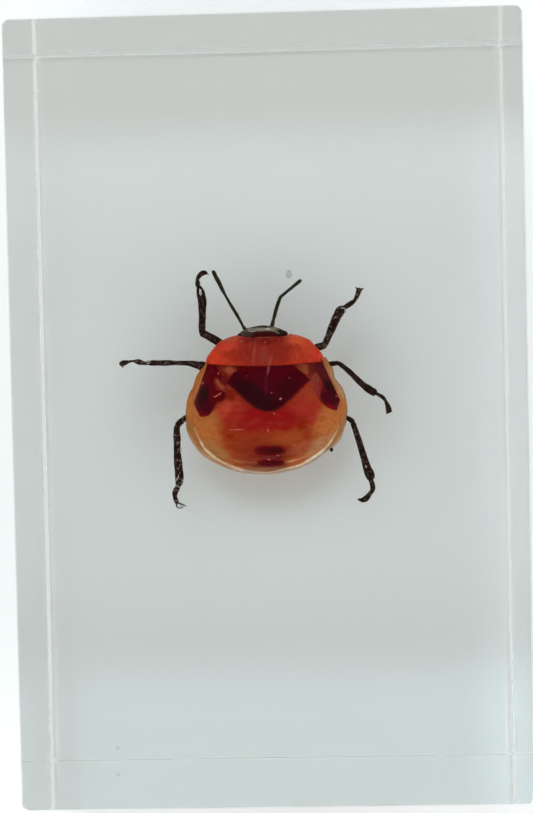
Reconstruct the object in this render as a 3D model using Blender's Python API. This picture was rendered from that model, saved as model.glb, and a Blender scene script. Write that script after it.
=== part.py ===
"""Insect in a resin block: a young shield bug sealed in a clear cast slab.

The slab lies on its large face. +Y runs from the bug's tail to its head, +Z is up, and the
origin is the middle of the face that the slab rests on. The resin was poured in two layers
with the bug between them, so it is parted at that level into two halves, each with its side
of the pocket that the bug fills.

Lengths below are in millimetres, and MM turns them to metres.
"""

import math

import bmesh
import bpy
from mathutils import Vector

MM = 0.001

# The resin block
BLOCK_LENGTH = 44.0
BLOCK_WIDTH = 28.6
BLOCK_THICKNESS = 17.0
CORNER_RADIUS = 0.5  # the four upright corners
EDGE_RADIUS = 0.15  # the polished edges round the two large faces
POUR_LEVEL = 8.0  # height of the joint between the two pours
JOINT_GAP = 0.3
POCKET_CLEARANCE = 0.3
FACET_ALLOWANCE = 0.04  # the pocket's facets are coarser, and cut corners
BEND_ROOM = 1.6  # least spacing of a pocket limb's stations, over its clearance

# The bug's body, in sections from the head to the tail: y, half width, and how far it
# reaches above and below the pour level
BODY_AXIS_X = -0.37
BODY_SECTIONS = (
    (4.3, 1.4, 0.8, 0.65),
    (4.1, 2.3, 1.15, 0.9),
    (3.7, 2.95, 1.5, 1.1),
    (3.2, 3.25, 1.8, 1.25),
    (2.6, 3.35, 2.05, 1.35),
    (1.9, 3.7, 2.25, 1.45),
    (1.1, 4.15, 2.4, 1.5),
    (0.2, 4.4, 2.5, 1.5),
    (-0.8, 4.35, 2.42, 1.4),
    (-1.6, 4.0, 2.12, 1.15),
    (-2.25, 3.45, 1.75, 0.9),
    (-2.7, 2.85, 1.4, 0.7),
    (-3.0, 2.25, 1.08, 0.5),
    (-3.2, 1.65, 0.8, 0.38),
    (-3.32, 1.0, 0.54, 0.26),
    (-3.38, 0.4, 0.4, 0.2),
)
RIM_OVERHANG = 0.35  # the thin edge of the abdomen, past the dome
RIM_THICKNESS = 0.3
RIM_FRONT_Y = 2.9  # it starts under the pronotum's hind corners

# The plates on its back, each raised a little over the dome
PRONOTUM_HIND_Y = 2.7
PRONOTUM_RAISE = 0.2
SADDLE_RAISE = 0.12
SADDLE_TOP_Y = 3.1  # under the pronotum's hind edge
SADDLE_OUTLINE = (  # scutellum and wing pads, right side, from the tip of the scutellum
    (0.0, -0.12),
    (1.0, 0.35),
    (2.0, 1.35),
    (2.4, 1.9),
    (2.65, 1.5),
    (2.85, 0.9),
    (3.2, 0.05),
    (3.65, -0.25),
    (4.05, 0.35),
    (3.95, 0.95),
    (3.7, 1.7),
    (3.3, 2.5),
)
GLAND_RAISE = 0.06
GLAND_PLATES = ((-2.4, 0.95, 0.3), (-3.0, 0.8, 0.24))  # y, half width, half length
GLAND_OUTLINE = (  # corners of one gland plate, as shares of its half sizes
    (1, 0.6),
    (0.7, 1),
    (-0.7, 1),
    (-1, 0.6),
    (-1, -0.6),
    (-0.7, -1),
    (0.7, -1),
    (1, -0.6),
)

# The head
HEAD_CENTRE = (-0.48, 4.32, 8.35)
HEAD_SIZE = (1.42, 0.72, 0.58)  # half width, half length, half height
EYE_OFFSET = (1.2, -0.1, 0.08)
EYE_RADIUS = 0.3

# Legs: where hip, knee, ankle, the foot's middle and its tip lie, seen from above
LEGS = {
    "fore_left": ((-1.7, 2.9), (-3.95, 4.6), (-4.15, 7.1), (-4.25, 7.5), (-3.6, 8.2)),
    "fore_right": ((1.2, 2.7), (3.35, 3.85), (4.55, 5.95), (4.9, 6.25), (5.4, 6.95)),
    "mid_left": ((-2.4, 2.1), (-5.3, 2.95), (-7.3, 2.85), (-7.75, 3.0), (-8.9, 2.9)),
    "mid_right": ((1.9, 2.2), (4.0, 2.65), (6.0, 0.95), (6.5, 0.6), (6.9, -0.3)),
    "hind_left": ((-3.1, 0.1), (-5.55, -0.85), (-5.6, -4.05), (-5.9, -4.65), (-5.4, -5.65)),
    "hind_right": ((2.5, 0.0), (4.85, -0.9), (5.75, -4.15), (5.9, -4.7), (5.2, -5.45)),
}
LEG_HEIGHTS = (7.25, 8.05, 7.7, 7.6, 7.5)
LEG_GIRTH = (  # joint, share of the way to the next one, radius there
    (0, 0.0, 0.24),
    (0, 0.7, 0.21),
    (1, 0.0, 0.17),
    (1, 0.2, 0.18),
    (1, 0.55, 0.21),
    (1, 0.92, 0.23),
    (2, 0.0, 0.11),
    (3, 0.0, 0.14),
    (3, 0.6, 0.11),
    (4, 0.0, 0.15),
)

# Feelers: their bends, seen from above
FEELERS = {
    "feeler_left": ((-1.0, 4.4), (-1.5, 4.85), (-2.55, 6.65), (-2.95, 7.5), (-3.3, 8.2)),
    "feeler_right": ((-0.1, 4.4), (0.15, 5.0), (0.6, 6.55), (1.2, 7.1), (1.9, 7.6)),
}
FEELER_HEIGHTS = (8.2, 8.2, 8.25, 8.1, 7.9)
FEELER_GIRTH = ((0, 0.0, 0.12), (1, 0.0, 0.11), (2, 0.0, 0.09), (3, 0.0, 0.08), (4, 0.0, 0.1))

# How finely the round shapes are cut
BODY_SIDES = 32
POCKET_SIDES = 24
LIMB_SIDES = 8
POCKET_LIMB_SIDES = 6
HEAD_FACETS = (20, 10)  # round, and from top to bottom
POCKET_HEAD_FACETS = (16, 8)
CORNER_SEGMENTS = 4
EDGE_SEGMENTS = 3
STILL_FLAT = 0.999  # a face whose normal has a part this large is one of the flat sides

RESIN_LOOK = {"color": (0.82, 0.88, 0.86, 1.0), "roughness": 0.05, "metallic": 0.0}
BUG_LOOK = {"color": (0.52, 0.12, 0.04, 1.0), "roughness": 0.25, "metallic": 0.0}


def clear_scene():
    for obj in list(bpy.data.objects):
        bpy.data.objects.remove(obj)


def material(name, look):
    """A Principled material with one colour, roughness and metallic value."""
    made = bpy.data.materials.new(name)
    made.use_nodes = True
    shader = made.node_tree.nodes["Principled BSDF"]
    shader.inputs["Base Color"].default_value = look["color"]
    shader.inputs["Roughness"].default_value = look["roughness"]
    shader.inputs["Metallic"].default_value = look["metallic"]
    made.diffuse_color = look["color"]
    return made


def object_from(bm, name, collection=None):
    """A scene object in metres from a bmesh in millimetres."""
    bmesh.ops.scale(bm, vec=(MM, MM, MM), verts=bm.verts)
    bmesh.ops.recalc_face_normals(bm, faces=bm.faces)
    mesh = bpy.data.meshes.new(name)
    bm.to_mesh(mesh)
    bm.free()
    obj = bpy.data.objects.new(name, mesh)
    (collection or bpy.context.scene.collection).objects.link(obj)
    return obj


def helper_from(bm, name, collection=None):
    """An object that only cuts another or is joined into it."""
    obj = object_from(bm, name, collection)
    obj.hide_render = True
    obj.display_type = "WIRE"
    return obj


def helper_collection(name):
    collection = bpy.data.collections.new(name)
    bpy.context.scene.collection.children.link(collection)
    return collection


def boolean(obj, operation, other):
    """A Boolean with one object, or with every object of a collection."""
    modifier = obj.modifiers.new(operation.lower(), "BOOLEAN")
    modifier.operation = operation
    modifier.solver = "EXACT"
    modifier.use_self = True
    if isinstance(other, bpy.types.Collection):
        modifier.operand_type = "COLLECTION"
        modifier.collection = other
    else:
        modifier.object = other


def shade_smooth(bm):
    for face in bm.faces:
        face.smooth = True


def loft(rings_of_points):
    """A closed skin over rings of points that all have the same count."""
    bm = bmesh.new()
    rings = [[bm.verts.new(point) for point in ring] for ring in rings_of_points]
    for near, far in zip(rings, rings[1:]):
        for i in range(len(near)):
            j = (i + 1) % len(near)
            bm.faces.new((near[i], near[j], far[j], far[i]))
    bmesh.ops.triangulate(bm, faces=bm.faces, quad_method="FIXED")
    shade_smooth(bm)
    bm.faces.new(rings[0])
    bm.faces.new(rings[-1])
    return bm


def grown_sections(grow):
    """The body's sections, moved outwards all round by grow."""
    front, rear = BODY_SECTIONS[0][0], BODY_SECTIONS[-1][0]
    middle, reach = (front + rear) / 2, (front - rear) / 2
    for y, half_width, above, below in BODY_SECTIONS:
        moved_y = y + grow * (y - middle) / reach
        yield moved_y, half_width + grow, above + grow, below + grow


def dome(sides, grow=0.0):
    """The body as one rounded skin."""
    rings = []
    for y, half_width, above, below in grown_sections(grow):
        ring = []
        for index in range(sides):
            angle = 2 * math.pi * index / sides
            height = above if angle < math.pi else below
            x = BODY_AXIS_X + half_width * math.cos(angle)
            ring.append((x, y, POUR_LEVEL + height * math.sin(angle)))
        rings.append(ring)
    return loft(rings)


def cut_off(bm, y, side):
    """Cuts away what lies behind y (side -1) or in front of it (side 1)."""
    cut = bmesh.ops.bisect_plane(
        bm,
        geom=bm.verts[:] + bm.edges[:] + bm.faces[:],
        plane_co=(0, y, 0),
        plane_no=(0, side, 0),
        clear_outer=True,
    )
    rim = [e for e in cut["geom_cut"] if isinstance(e, bmesh.types.BMEdge)]
    bmesh.ops.contextual_create(bm, geom=rim)


def prism(outline, low, high):
    """An upright prism over a closed outline of (x, y) points."""
    bm = bmesh.new()
    face = bm.faces.new([bm.verts.new((x, y, low)) for x, y in outline])
    raised = bmesh.ops.extrude_face_region(bm, geom=[face])
    moved = [v for v in raised["geom"] if isinstance(v, bmesh.types.BMVert)]
    bmesh.ops.translate(bm, vec=(0, 0, high - low), verts=moved)
    return bm


def abdomen_rim(grow):
    """The thin edge of the abdomen, as a plate that runs through the body."""
    sides = [(half_width, y) for y, half_width, _, _ in grown_sections(grow + RIM_OVERHANG)]
    right = [(BODY_AXIS_X + half_width, y) for half_width, y in sides]
    left = [(BODY_AXIS_X - half_width, y) for half_width, y in reversed(sides)]
    reach = RIM_THICKNESS / 2 + grow
    return prism(right + left, POUR_LEVEL - reach, POUR_LEVEL + reach)


def raised_plate(name, collection, outline, grow):
    """A plate that follows the back, within an outline seen from above."""
    low, high = POUR_LEVEL + RIM_THICKNESS, BLOCK_THICKNESS
    cutter = helper_from(prism(outline, low, high), name + "_outline")
    plate = helper_from(dome(BODY_SIDES, grow), name, collection)
    boolean(plate, "INTERSECT", cutter)


def saddle_outline():
    """The scutellum with a wing pad on each side."""
    right = [(BODY_AXIS_X + x, y) for x, y in SADDLE_OUTLINE]
    left = [(BODY_AXIS_X - x, y) for x, y in reversed(SADDLE_OUTLINE[1:])]
    return right + [(right[-1][0], SADDLE_TOP_Y), (left[0][0], SADDLE_TOP_Y)] + left


def ellipsoid(centre, size, segments, rings, grow=0.0):
    bm = bmesh.new()
    bmesh.ops.create_uvsphere(bm, u_segments=segments, v_segments=rings, radius=1.0)
    bmesh.ops.scale(bm, vec=[half + grow for half in size], verts=bm.verts)
    bmesh.ops.translate(bm, vec=centre, verts=bm.verts)
    shade_smooth(bm)
    return bm


def stations_along(bends, heights, girth):
    """Points with a radius, along a limb that is given by its bends."""
    joints = [Vector((x, y, z)) for (x, y), z in zip(bends, heights)]
    stations = []
    for joint, share, radius in girth:
        following = joints[min(joint + 1, len(joints) - 1)]
        stations.append((joints[joint].lerp(following, share), radius))
    return stations


def spaced_out(stations, least):
    """The stations that lie at least so far from the one kept before, and the last."""
    kept = [stations[0]]
    for point, radius in stations[1:-1]:
        if (point - kept[-1][0]).length >= least:
            kept.append((point, radius))
    return kept + [stations[-1]]


def limb(stations, sides, grow=0.0):
    """A closed tube through the stations, moved outwards by grow."""
    stations = spaced_out(stations, BEND_ROOM * grow)
    points = [point.copy() for point, _ in stations]
    points[-1] += (points[-1] - points[-2]).normalized() * grow
    rings = []
    for index, point in enumerate(points):
        before = points[max(index - 1, 0)]
        after = points[min(index + 1, len(points) - 1)]
        along = (after - before).normalized()
        side = along.cross(Vector((0, 0, 1))).normalized()
        up = side.cross(along)
        radius = stations[index][1] + grow
        ring = []
        for corner in range(sides):
            angle = 2 * math.pi * (corner + 0.5) / sides
            ring.append(point + radius * (math.cos(angle) * side + math.sin(angle) * up))
        rings.append(ring)
    return loft(rings)


def add_head_and_limbs(collection, prefix, facets, limb_sides, grow):
    segments, rings = facets
    head = ellipsoid(HEAD_CENTRE, HEAD_SIZE, segments, rings, grow)
    helper_from(head, prefix + "head", collection)
    for side, x in (("left", -EYE_OFFSET[0]), ("right", EYE_OFFSET[0])):
        centre = Vector(HEAD_CENTRE) + Vector((x, *EYE_OFFSET[1:]))
        eye = ellipsoid(centre, [EYE_RADIUS] * 3, segments // 2, rings // 2 + 1, grow)
        helper_from(eye, f"{prefix}eye_{side}", collection)
    for name, bends in LEGS.items():
        tube = limb(stations_along(bends, LEG_HEIGHTS, LEG_GIRTH), limb_sides, grow)
        helper_from(tube, prefix + name, collection)
    for name, bends in FEELERS.items():
        tube = limb(stations_along(bends, FEELER_HEIGHTS, FEELER_GIRTH), limb_sides, grow)
        helper_from(tube, prefix + name, collection)


def build_bug(look):
    """The bug in one piece: dome, rim, plates, head, eyes, legs and feelers."""
    shapes = helper_collection("bug_shapes")

    rim = abdomen_rim(0.0)
    cut_off(rim, RIM_FRONT_Y, 1)
    helper_from(rim, "rim", shapes)

    pronotum = dome(BODY_SIDES, PRONOTUM_RAISE)
    cut_off(pronotum, PRONOTUM_HIND_Y, -1)
    helper_from(pronotum, "pronotum", shapes)

    raised_plate("saddle", shapes, saddle_outline(), SADDLE_RAISE)
    for number, (y, half_width, half_length) in enumerate(GLAND_PLATES):
        outline = [
            (BODY_AXIS_X + u * half_width, y + v * half_length) for u, v in GLAND_OUTLINE
        ]
        raised_plate(f"gland_plate_{number}", shapes, outline, GLAND_RAISE)

    add_head_and_limbs(shapes, "", HEAD_FACETS, LIMB_SIDES, 0.0)

    bug = object_from(dome(BODY_SIDES), "insect")
    boolean(bug, "UNION", shapes)
    bug.data.materials.append(look)


def build_pocket():
    """The form that leaves the pocket: the bug, plainer and larger by the clearance."""
    shapes = helper_collection("pocket_shapes")
    helper_from(abdomen_rim(POCKET_CLEARANCE), "pocket_rim", shapes)
    room = POCKET_CLEARANCE + FACET_ALLOWANCE
    add_head_and_limbs(shapes, "pocket_", POCKET_HEAD_FACETS, POCKET_LIMB_SIDES, room)
    body = dome(POCKET_SIDES, POCKET_CLEARANCE + PRONOTUM_RAISE)
    pocket = helper_from(body, "pocket_form")
    boolean(pocket, "UNION", shapes)
    return pocket


def round_off(bm, edges, radius, segments):
    bmesh.ops.bevel(
        bm, geom=edges, offset=radius, segments=segments, profile=0.5, affect="EDGES"
    )


def block_half(name, low, high, polished_z):
    """One pour of the block, with rounded corners and one polished large face."""
    bm = bmesh.new()
    bmesh.ops.create_cube(bm, size=1.0)
    bmesh.ops.scale(bm, vec=(BLOCK_WIDTH, BLOCK_LENGTH, high - low), verts=bm.verts)
    bmesh.ops.translate(bm, vec=(0, 0, (low + high) / 2), verts=bm.verts)
    upright = [e for e in bm.edges if e.verts[0].co.xy == e.verts[1].co.xy]
    round_off(bm, upright, CORNER_RADIUS, CORNER_SEGMENTS)
    outer = [e for e in bm.edges if all(v.co.z == polished_z for v in e.verts)]
    round_off(bm, outer, EDGE_RADIUS, EDGE_SEGMENTS)
    bm.normal_update()
    for face in bm.faces:
        face.smooth = not any(abs(part) > STILL_FLAT for part in face.normal)
    return object_from(bm, name)


def build_block(look, pocket):
    joint_low = POUR_LEVEL - JOINT_GAP / 2
    joint_high = POUR_LEVEL + JOINT_GAP / 2
    halves = (
        block_half("resin_lower_half", 0.0, joint_low, 0.0),
        block_half("resin_upper_half", joint_high, BLOCK_THICKNESS, BLOCK_THICKNESS),
    )
    for half in halves:
        boolean(half, "DIFFERENCE", pocket)
        half.data.materials.append(look)


def main():
    clear_scene()
    build_bug(material("insect_cuticle", BUG_LOOK))
    pocket = build_pocket()
    build_block(material("clear_resin", RESIN_LOOK), pocket)


main()
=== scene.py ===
import math

import bmesh
import bpy
from mathutils import Matrix, Vector, noise


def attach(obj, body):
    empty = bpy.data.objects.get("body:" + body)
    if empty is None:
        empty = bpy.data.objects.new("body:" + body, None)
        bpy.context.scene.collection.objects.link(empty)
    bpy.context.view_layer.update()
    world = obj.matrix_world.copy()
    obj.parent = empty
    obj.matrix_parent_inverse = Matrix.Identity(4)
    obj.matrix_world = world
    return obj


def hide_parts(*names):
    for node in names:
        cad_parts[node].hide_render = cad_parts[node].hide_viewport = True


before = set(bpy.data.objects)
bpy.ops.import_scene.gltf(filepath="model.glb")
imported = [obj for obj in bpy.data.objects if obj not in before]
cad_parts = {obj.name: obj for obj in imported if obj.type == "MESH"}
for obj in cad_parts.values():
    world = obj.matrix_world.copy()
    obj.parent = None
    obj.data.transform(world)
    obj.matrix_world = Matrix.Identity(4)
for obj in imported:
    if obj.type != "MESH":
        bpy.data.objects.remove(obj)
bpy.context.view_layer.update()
mm = 0.001


def linearColour(hexText):
    shares = [int(hexText[i:i + 2], 16) / 255 for i in (1, 3, 5)]
    return [s / 12.92 if s <= 0.04045 else ((s + 0.055) / 1.055) ** 2.4 for s in shares] + [1.0]


def addNode(tree, kind, values={}, links={}, **settings):
    node = tree.nodes.new("ShaderNode" + kind)
    for name, value in settings.items():
        setattr(node, name, value)
    for socket, value in values.items():
        node.inputs[socket].default_value = value
    for socket, source in links.items():
        tree.links.new(source, node.inputs[socket])
    return node


def newMaterial(name):
    material = bpy.data.materials.new(name)
    material.use_nodes = True
    material.node_tree.nodes.clear()
    return material, material.node_tree


def finishSurface(material, values, links={}):
    # the shader of a finish, and the way from it to the output
    shader = addNode(material.node_tree, "BsdfPrincipled", values, links)
    addNode(material.node_tree, "OutputMaterial", links={"Surface": shader.outputs[0]})
    return material


def finishPiece(bm, name, material, replaced=(), smooth=True):
    bmesh.ops.scale(bm, vec=(mm, mm, mm), verts=bm.verts)
    bmesh.ops.recalc_face_normals(bm, faces=bm.faces)
    mesh = bpy.data.meshes.new(name)
    bm.to_mesh(mesh)
    bm.free()
    if smooth:
        mesh.shade_smooth()
    piece = bpy.data.objects.new(name, mesh)
    bpy.context.scene.collection.objects.link(piece)
    mesh.materials.append(material)
    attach(piece, "root")
    if replaced:
        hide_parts(*replaced)
    return piece


# Resin block, one clear casting. The bug's own pieces stand inside it.
blockSize = {
    "size": (28.6, 44.0, 17.0),
    # every broken edge: the way its flat faces, and how deep it cuts
    "brokenEdges": [
        ((-0.6, 0, -0.8), 0.15), ((0.6, 0, -0.8), 0.14), ((0, 0.6, -0.8), 0.16),
        ((0, -0.84, -0.54), 0.013), ((-1, 0, 1), 0.06), ((1, 0, 1), 0.06), ((0, 1, 1), 0.06),
        ((0, -1, 1), 0.03),
    ],
    "rubbedCorner": 0.5,  # radius of the four upright corners, seen from above
    "cornerTurns": (15, 30, 45, 60, 75),  # degrees, the flats that round a corner
    "cornerLean": 0.12,  # how far those flats look up
    "edgeRoughness": 0.2,
    "swell": (9, 0.02),  # length and height of what buffing leaves
    "ior": 1.5,
    "depthColour": "#d8dcda",
    "depthDensity": 41.5,
}


def clearResin():
    # Cast polyester resin, ground flat and buffed: water-clear, a faint grey green in depth,
    # glossy, with the slow swell that buffing leaves on a flat face. The broken edges were
    # only rubbed, so they are satin and show as soft pale lines.
    material, tree = newMaterial("castPolyesterBuffed")
    place = addNode(tree, "TexCoord").outputs["Object"]
    length, height = blockSize["swell"]
    swell = addNode(tree, "TexNoise", {"Scale": 1 / (length * mm), "Detail": 1.0}, {"Vector": place})
    bump = addNode(
        tree, "Bump", {"Strength": 0.25, "Distance": height * mm}, {"Height": swell.outputs["Fac"]}
    )
    edge = addNode(tree, "Attribute", attribute_name="groundEdge")
    satin = addNode(
        tree, "Math", {1: blockSize["edgeRoughness"]}, {0: edge.outputs["Fac"]}, operation="MULTIPLY"
    )
    shader = addNode(
        tree, "BsdfPrincipled",
        {"Base Color": (1, 1, 1, 1), "IOR": blockSize["ior"], "Transmission Weight": 1.0},
        {"Roughness": satin.outputs[0], "Normal": bump.outputs["Normal"]},
    )
    depth = addNode(
        tree, "VolumeAbsorption",
        {"Color": linearColour(blockSize["depthColour"]), "Density": blockSize["depthDensity"]},
    )
    addNode(tree, "OutputMaterial", links={"Surface": shader.outputs[0], "Volume": depth.outputs[0]})
    return material


def only(kind, parts):
    return [part for part in parts if isinstance(part, kind)]


def breakEdge(bm, ground, towards, depth):
    width, length, thickness = blockSize["size"]
    facing = Vector(towards).normalized()
    sides = [(c > 0) - (c < 0) for c in facing]
    corner = Vector((sides[0] * width / 2, sides[1] * length / 2, thickness if sides[2] > 0 else 0.0))
    cut = bmesh.ops.bisect_plane(
        bm, geom=bm.verts[:] + bm.edges[:] + bm.faces[:],
        plane_co=corner - facing * depth, plane_no=facing, clear_outer=True,
    )
    rim = only(bmesh.types.BMEdge, cut["geom_cut"])
    for face in bmesh.ops.edgeloop_fill(bm, edges=rim)["faces"]:
        face[ground] = 1.0


def makeBlock():
    size = blockSize["size"]
    bm = bmesh.new()
    bmesh.ops.create_cube(bm, size=1.0)
    bmesh.ops.scale(bm, vec=size, verts=bm.verts)
    bmesh.ops.translate(bm, vec=(0, 0, size[2] / 2), verts=bm.verts)
    ground = bm.faces.layers.float.new("groundEdge")
    for x in (-1, 1):
        for y in (-1, 1):
            for turn in blockSize["cornerTurns"]:
                across, along = math.cos(math.radians(turn)), math.sin(math.radians(turn))
                breakEdge(
                    bm, ground, (x * across, y * along, blockSize["cornerLean"]),
                    blockSize["rubbedCorner"] * (across + along - 1),
                )
    for towards, depth in blockSize["brokenEdges"]:
        breakEdge(bm, ground, towards, depth)
    halves = ("resin_lower_half", "resin_upper_half")
    finishPiece(bm, "resinBlock", clearResin(), halves, smooth=False)
    print("block done")


makeBlock()

# The bug: what every piece of it shares. Sections run from head to tail: how far forward,
# half width, and how far the trunk reaches above and below its level.
bug = {
    "axis": -0.35,
    "level": 8.0,
    "sections": [
        (4.36, 0.0, 0.3, 0.25), (4.3, 1.4, 0.8, 0.65), (4.1, 2.3, 1.15, 0.9), (3.7, 2.95, 1.5, 1.1),
        (3.2, 3.25, 1.8, 1.25), (2.6, 3.35, 2.05, 1.35), (1.9, 3.82, 2.25, 1.45), (1.1, 4.22, 2.4, 1.5),
        (0.2, 4.43, 2.5, 1.5), (-0.8, 4.4, 2.42, 1.4), (-1.6, 4.1, 2.12, 1.15), (-2.25, 3.6, 1.75, 0.9),
        (-2.7, 3.12, 1.4, 0.7), (-3.02, 2.66, 1.12, 0.55), (-3.28, 2.12, 0.88, 0.42),
        (-3.48, 1.5, 0.66, 0.3), (-3.6, 1.0, 0.52, 0.24), (-3.66, 0.5, 0.44, 0.2),
        (-3.68, 0.0, 0.4, 0.18),
    ],
}


def smoothPath(rows, steps):
    # points on a smooth curve through every row
    path = []
    for i in range(len(rows) - 1):
        before, start, end, after = (rows[max(0, min(j, len(rows) - 1))] for j in range(i - 1, i + 3))
        for k in range(steps):
            t = k / steps
            path.append(tuple(
                b + t / 2 * (c - a + t * (2 * a - 5 * b + 4 * c - d + t * (3 * b - a - 3 * c + d)))
                for a, b, c, d in zip(before, start, end, after)
            ))
    return path + [tuple(rows[-1])]


trunkRings = smoothPath(bug["sections"], 12)


def trunkAt(y):
    # half width, reach above and reach below, at one place along the trunk
    for front, rear in zip(trunkRings, trunkRings[1:]):
        if front[0] >= y >= rear[0]:
            t = (front[0] - y) / max(front[0] - rear[0], 1e-9)
            return [a + t * (b - a) for a, b in zip(front[1:], rear[1:])]
    return trunkRings[0 if y > 0 else -1][1:]


def backHeight(x, y):
    halfWidth, above, _ = trunkAt(y)
    share = 1 - ((x - bug["axis"]) / max(halfWidth, 1e-6)) ** 2
    return bug["level"] + above * math.sqrt(max(share, 0.0))


def fade(value, start, end):
    t = max(0.0, min(1.0, (value - start) / (end - start)))
    return t * t * (3 - 2 * t)


def hump(value, width):
    return math.exp(-(value / width) ** 2)


def relief(size, name, value):
    # a low form by its name in a piece's dictionary, which gives its height and width
    height, width = size[name]
    return height * hump(value, width)


def setAttribute(bm, name, value):
    # value(x, y, z) in millimetres, kept on every corner of the mesh
    layer = bm.verts.layers.float.new(name)
    for vert in bm.verts:
        vert[layer] = value(*vert.co)


def insideBy(outline, x, y):
    # how far a point lies inside an outline, or outside it when negative
    nearest, inside = 1e9, False
    for (ax, ay), (bx, by) in zip(outline, outline[1:] + outline[:1]):
        t = ((x - ax) * (bx - ax) + (y - ay) * (by - ay)) / ((bx - ax) ** 2 + (by - ay) ** 2)
        t = max(0.0, min(1.0, t))
        nearest = min(nearest, math.hypot(x - ax - t * (bx - ax), y - ay - t * (by - ay)))
        if (ay > y) != (by > y) and x < ax + (y - ay) / (by - ay) * (bx - ax):
            inside = not inside
    return nearest if inside else -nearest


roundEnd = ((0.99, 0.12), (0.87, 0.5), (0.5, 0.87))  # how far out its rings lie, and how wide


def sweep(bm, stations, sides=16, profile=None, lean=0.0):
    # a closed limb through stations of (point, radius across, radius up), with rounded ends
    points = [Vector(point) for point, _, _ in stations]
    places = []
    for i, (_, across, up) in enumerate(stations):
        ahead = (points[min(i + 1, len(points) - 1)] - points[max(i - 1, 0)]).normalized()
        side = ahead.cross(Vector((0, 0, 1))).normalized()
        turn = Matrix((side, ahead.cross(side).normalized(), ahead)).transposed()
        turn = turn @ Matrix.Rotation(lean, 3, "Z")
        places.append((points[i], turn, across, up))
    first, last = places[0], places[-1]
    starts = [(first, -out, share) for out, share in roundEnd]
    ends = [(last, out, share) for out, share in reversed(roundEnd)]
    rings = []
    for (point, turn, across, up), shift, share in (
        starts + [(place, 0.0, 1.0) for place in places] + ends
    ):
        moved = point + turn @ Vector((0, 0, shift * min(across, up)))
        scaled = Matrix.Diagonal((across * share, up * share, 1.0, 1.0))
        rings.append(Matrix.Translation(moved) @ turn.to_4x4() @ scaled)
    ring = bmesh.ops.create_circle(bm, cap_ends=False, segments=sides, radius=1.0)["verts"]
    if profile:
        for vert in ring:
            vert.co *= profile(math.atan2(vert.co.y, vert.co.x))
    edges = list(dict.fromkeys(e for v in ring for e in v.link_edges))  # each once, in order
    bmesh.ops.transform(bm, matrix=rings[0], verts=ring)
    bmesh.ops.edgeloop_fill(bm, edges=edges)
    for before, after in zip(rings, rings[1:]):
        grown = bmesh.ops.extrude_edge_only(bm, edges=edges)["geom"]
        edges, ring = only(bmesh.types.BMEdge, grown), only(bmesh.types.BMVert, grown)
        bmesh.ops.transform(bm, matrix=after @ before.inverted(), verts=ring)
    bmesh.ops.edgeloop_fill(bm, edges=edges)


def lump(bm, centre, size, segments, rings, turn=0.0):
    made = bmesh.ops.create_uvsphere(bm, u_segments=segments, v_segments=rings, radius=1.0)["verts"]
    bmesh.ops.scale(bm, vec=size, verts=made)
    bmesh.ops.rotate(bm, cent=(0, 0, 0), matrix=Matrix.Rotation(turn, 3, "Z"), verts=made)
    bmesh.ops.translate(bm, vec=centre, verts=made)
    return made


# How the bug's colours are laid: a ground colour, and soft patches over it.
wetIndex = 1.1  # the index of cuticle against the resin's, not against air


def wobbledPlace(tree, grain, reach):
    # object coordinates pushed about by noise, so that patches get uneven borders
    place = addNode(tree, "TexCoord").outputs["Object"]
    clouds = addNode(tree, "TexNoise", {"Scale": 1 / (grain * mm), "Detail": 3.0}, {"Vector": place})
    centred = addNode(
        tree, "VectorMath", {1: (0.5, 0.5, 0.5)}, {0: clouds.outputs["Color"]}, operation="SUBTRACT"
    )
    pushed = addNode(
        tree, "VectorMath", {1: (reach * mm,) * 3}, {0: centred.outputs[0], 2: place},
        operation="MULTIPLY_ADD",
    )
    return pushed.outputs[0]


def layOver(tree, under, colour, share):
    laid = addNode(tree, "Mix", {7: linearColour(colour)}, {0: share, 6: under}, data_type="RGBA")
    return laid.outputs[2]


def layWhere(tree, under, colour, value, low, high, most=1.0):
    # a colour that comes in softly as the value goes from low to high
    share = addNode(
        tree, "MapRange", {"From Min": low, "From Max": high, "To Max": most}, {"Value": value},
        interpolation_type="SMOOTHSTEP",
    )
    return layOver(tree, under, colour, share.outputs["Result"])


def patch(tree, under, place, colour, centre, reach, turn=0, most=1.0, soft=1.0):
    # an oval of colour, seen from above, that fades out at its border
    local = addNode(
        tree, "Mapping",
        {
            "Location": (centre[0] * mm, centre[1] * mm, 0),
            "Rotation": (0, 0, math.radians(turn)),
            "Scale": (reach[0] * mm, reach[1] * mm, 1000),
        },
        {"Vector": place}, vector_type="TEXTURE",
    )
    away = addNode(tree, "VectorMath", links={0: local.outputs[0]}, operation="LENGTH")
    return layWhere(tree, under, colour, away.outputs["Value"], 1 + soft / 2, 1 - soft / 2, most)


def patches(tree, colour, place, rows, **shared):
    # rows of colour, centre, reach, turn, how much it hides and how soft its border is
    for row in rows:
        colour = patch(tree, colour, place, *row, **shared)
    return colour


def mottled(tree, dark, light, grain):
    place = addNode(tree, "TexCoord").outputs["Object"]
    clouds = addNode(
        tree, "TexNoise", {"Scale": 1 / (grain * mm), "Detail": 4.0, "Roughness": 0.6}, {"Vector": place}
    )
    share = addNode(
        tree, "MapRange", {"From Min": 0.35, "From Max": 0.65}, {"Value": clouds.outputs["Fac"]}
    )
    mixed = addNode(
        tree, "Mix", {6: linearColour(dark), 7: linearColour(light)},
        {0: share.outputs["Result"]}, data_type="RGBA",
    )
    return mixed.outputs[2]


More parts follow.
